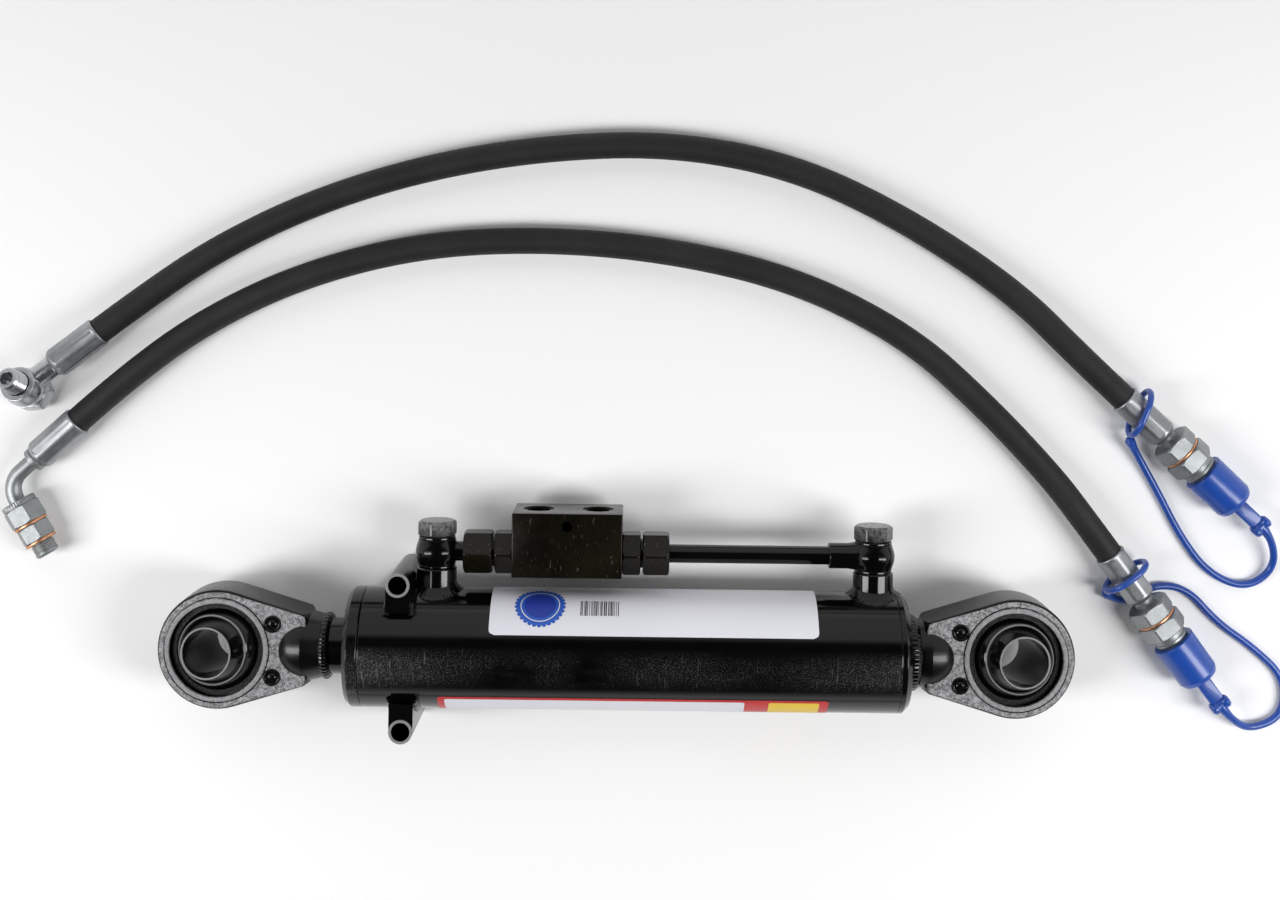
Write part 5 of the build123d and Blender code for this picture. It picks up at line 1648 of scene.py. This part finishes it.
def spring(name, line, fixed, moving, radius, joint):
    """A coil between two stations. Its valve pushes the moving end towards the fixed one."""
    low, high = sorted((fixed, moving))
    start, end = low + 2 * SPRING_WIRE, high - 2 * SPRING_WIRE
    turns, steps = SPRING_TURNS, 28
    path = []
    for k in range(turns * steps + 1):
        a = 2 * math.pi * k / steps
        station = start + (end - start) * k / (turns * steps)
        path.append(line.at(station, radius * math.cos(a), radius * math.sin(a)))
    made = build(name + "_coil", *swept(path, SPRING_WIRE, 12), steel, slot="bright_steel", stands_for=[name])
    [c * 0.001 for c in line.at(fixed)]
    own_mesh(made)
    return made


springs = []
for name, side in (("rod", -1), ("base", 1)):
    line = along_x(BLOCK_MID, LINE_Y, side)
    springs.append(spring(name + "_side_check_spring", line, 27, 18, 4.1, name + "_side_check_slide"))
for name, (left, right) in ends.items():
    springs.append(spring(name + "_coupler_spring", right, CHAMBER, 73, 4.4, name + "_coupler_valve_slide"))
print("springs", [coil.name for coil in springs])

# %% [markdown]
# ## Pieces that keep their CAD meshes
# The piston, its seals, the valves' poppets and the lugs of the sleeves are dressed as they are.
# Finer meshes would add little, because they are hidden or simple. A small table names the finish
# of each.

# %% Inner pieces
INNER = {
    "steel": (steel, "piston piston_nut pilot_piston rod_side_check_poppet base_side_check_poppet "
              "upper_coupler_poppet lower_coupler_poppet"),
    "seals": (seal_rubber, "rod_seal wiper_ring gland_ring piston_seal"),
    "guides": (nylon, "piston_guide_rings"),
    "lugs": (black_paint, "holder_saddles"),
}
for look, names in INNER.values():
    for node in names.split():
        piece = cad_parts[node]
        piece.data.materials.clear()
        piece.data.materials.append(look.material)
print("dressed", sum(len(names.split()) for look, names in INNER.values()), "CAD pieces")

# %% [markdown]
# ## Table
# The link lies on a pale table that fades into the background. A backdrop with a curved end would
# be needed for a low camera. This one looks down, so a large flat sheet does, and it keeps the soft
# shadow of the link.

# %% Table
TABLE_HALF, TABLE_TOP = 6.0, -0.0325
corners = [(TABLE_HALF * x, TABLE_HALF * y, 0) for x, y in ((-1, -1), (1, -1), (1, 1), (-1, 1))]
table_mesh = bpy.data.meshes.new("table")
table_mesh.from_pydata(corners, [], [(0, 1, 2, 3)])
table = bpy.data.objects.new("table", table_mesh)
table.location = (0, 0, TABLE_TOP)
scene.collection.objects.link(table)
table_look = Shader("table", Base_Color=(0.95, 0.95, 0.95), Roughness=0.9, Specular_IOR_Level=0.0)
table.data.materials.append(table_look.material)
print("table at", round(table.location.z, 4))

# %% [markdown]
# ## Two soft boxes
# Each upright boss and ring shows a pair of highlights, so two boxes stood to the left and to the
# right. One large light overhead would put a wide grey glare on the barrel. Both boxes are narrow,
# equal and aimed at the middle of the link.

# %% Soft boxes
BOX_WATTS, BOX_SIZE = 9.2, (0.32, 0.8)
BOX_TARGET = (-0.22, -0.02, 0)


def soft_light(name, place, target, size, power):
    data = bpy.data.lights.new(name, "AREA")
    data.shape = "RECTANGLE"
    data.size, data.size_y = size
    data.energy = power
    made = bpy.data.objects.new(name, data)
    made.location = place
    made.rotation_euler = (Vector(target) - Vector(place)).to_track_quat("-Z", "Y").to_euler()
    scene.collection.objects.link(made)
    return made


for name, x in (("left_box", -1.1), ("right_box", 0.66)):
    box = soft_light(name, (x, -0.12, 0.8), BOX_TARGET, BOX_SIZE, BOX_WATTS)
    print(box.name, "gives", box.data.energy, "watts")

# %% [markdown]
# ## The room
# Bright metal shows what is around it. With a plain grey world the zinc looks flat, and with a
# white one the black paint turns grey. So the room is white round the horizon, has a pale wall that
# leans in over the hoses, and is dark above, where the paint that faces the camera looks.

# %% Room
world = bpy.data.worlds.new("studio")
scene.world = world
world.use_nodes = True
room = Nodes(world.node_tree)
direction = room.node("TexCoord", output="Generated")
height = room.node("SeparateXYZ", None, {"Vector": direction}, output="Z")
DARK_MIDDLE = (0.0, -0.643, 0.766)
towards_dark = room.node(
    "VectorMath", {"operation": "DOT_PRODUCT"}, {0: direction, 1: DARK_MIDDLE}, output="Value",
)
wall = towards_dark.span(0.22, 0.36, 0.8, 0.02)
horizon = height.span(0.1, 0.34, 1.0, 0.02)
background = world.node_tree.nodes["Background"]
room.join(background.inputs["Color"], (1, 1, 1))
room.join(background.inputs["Strength"], wall.math("MAXIMUM", horizon))
print("room with a white horizon and a dark ceiling")
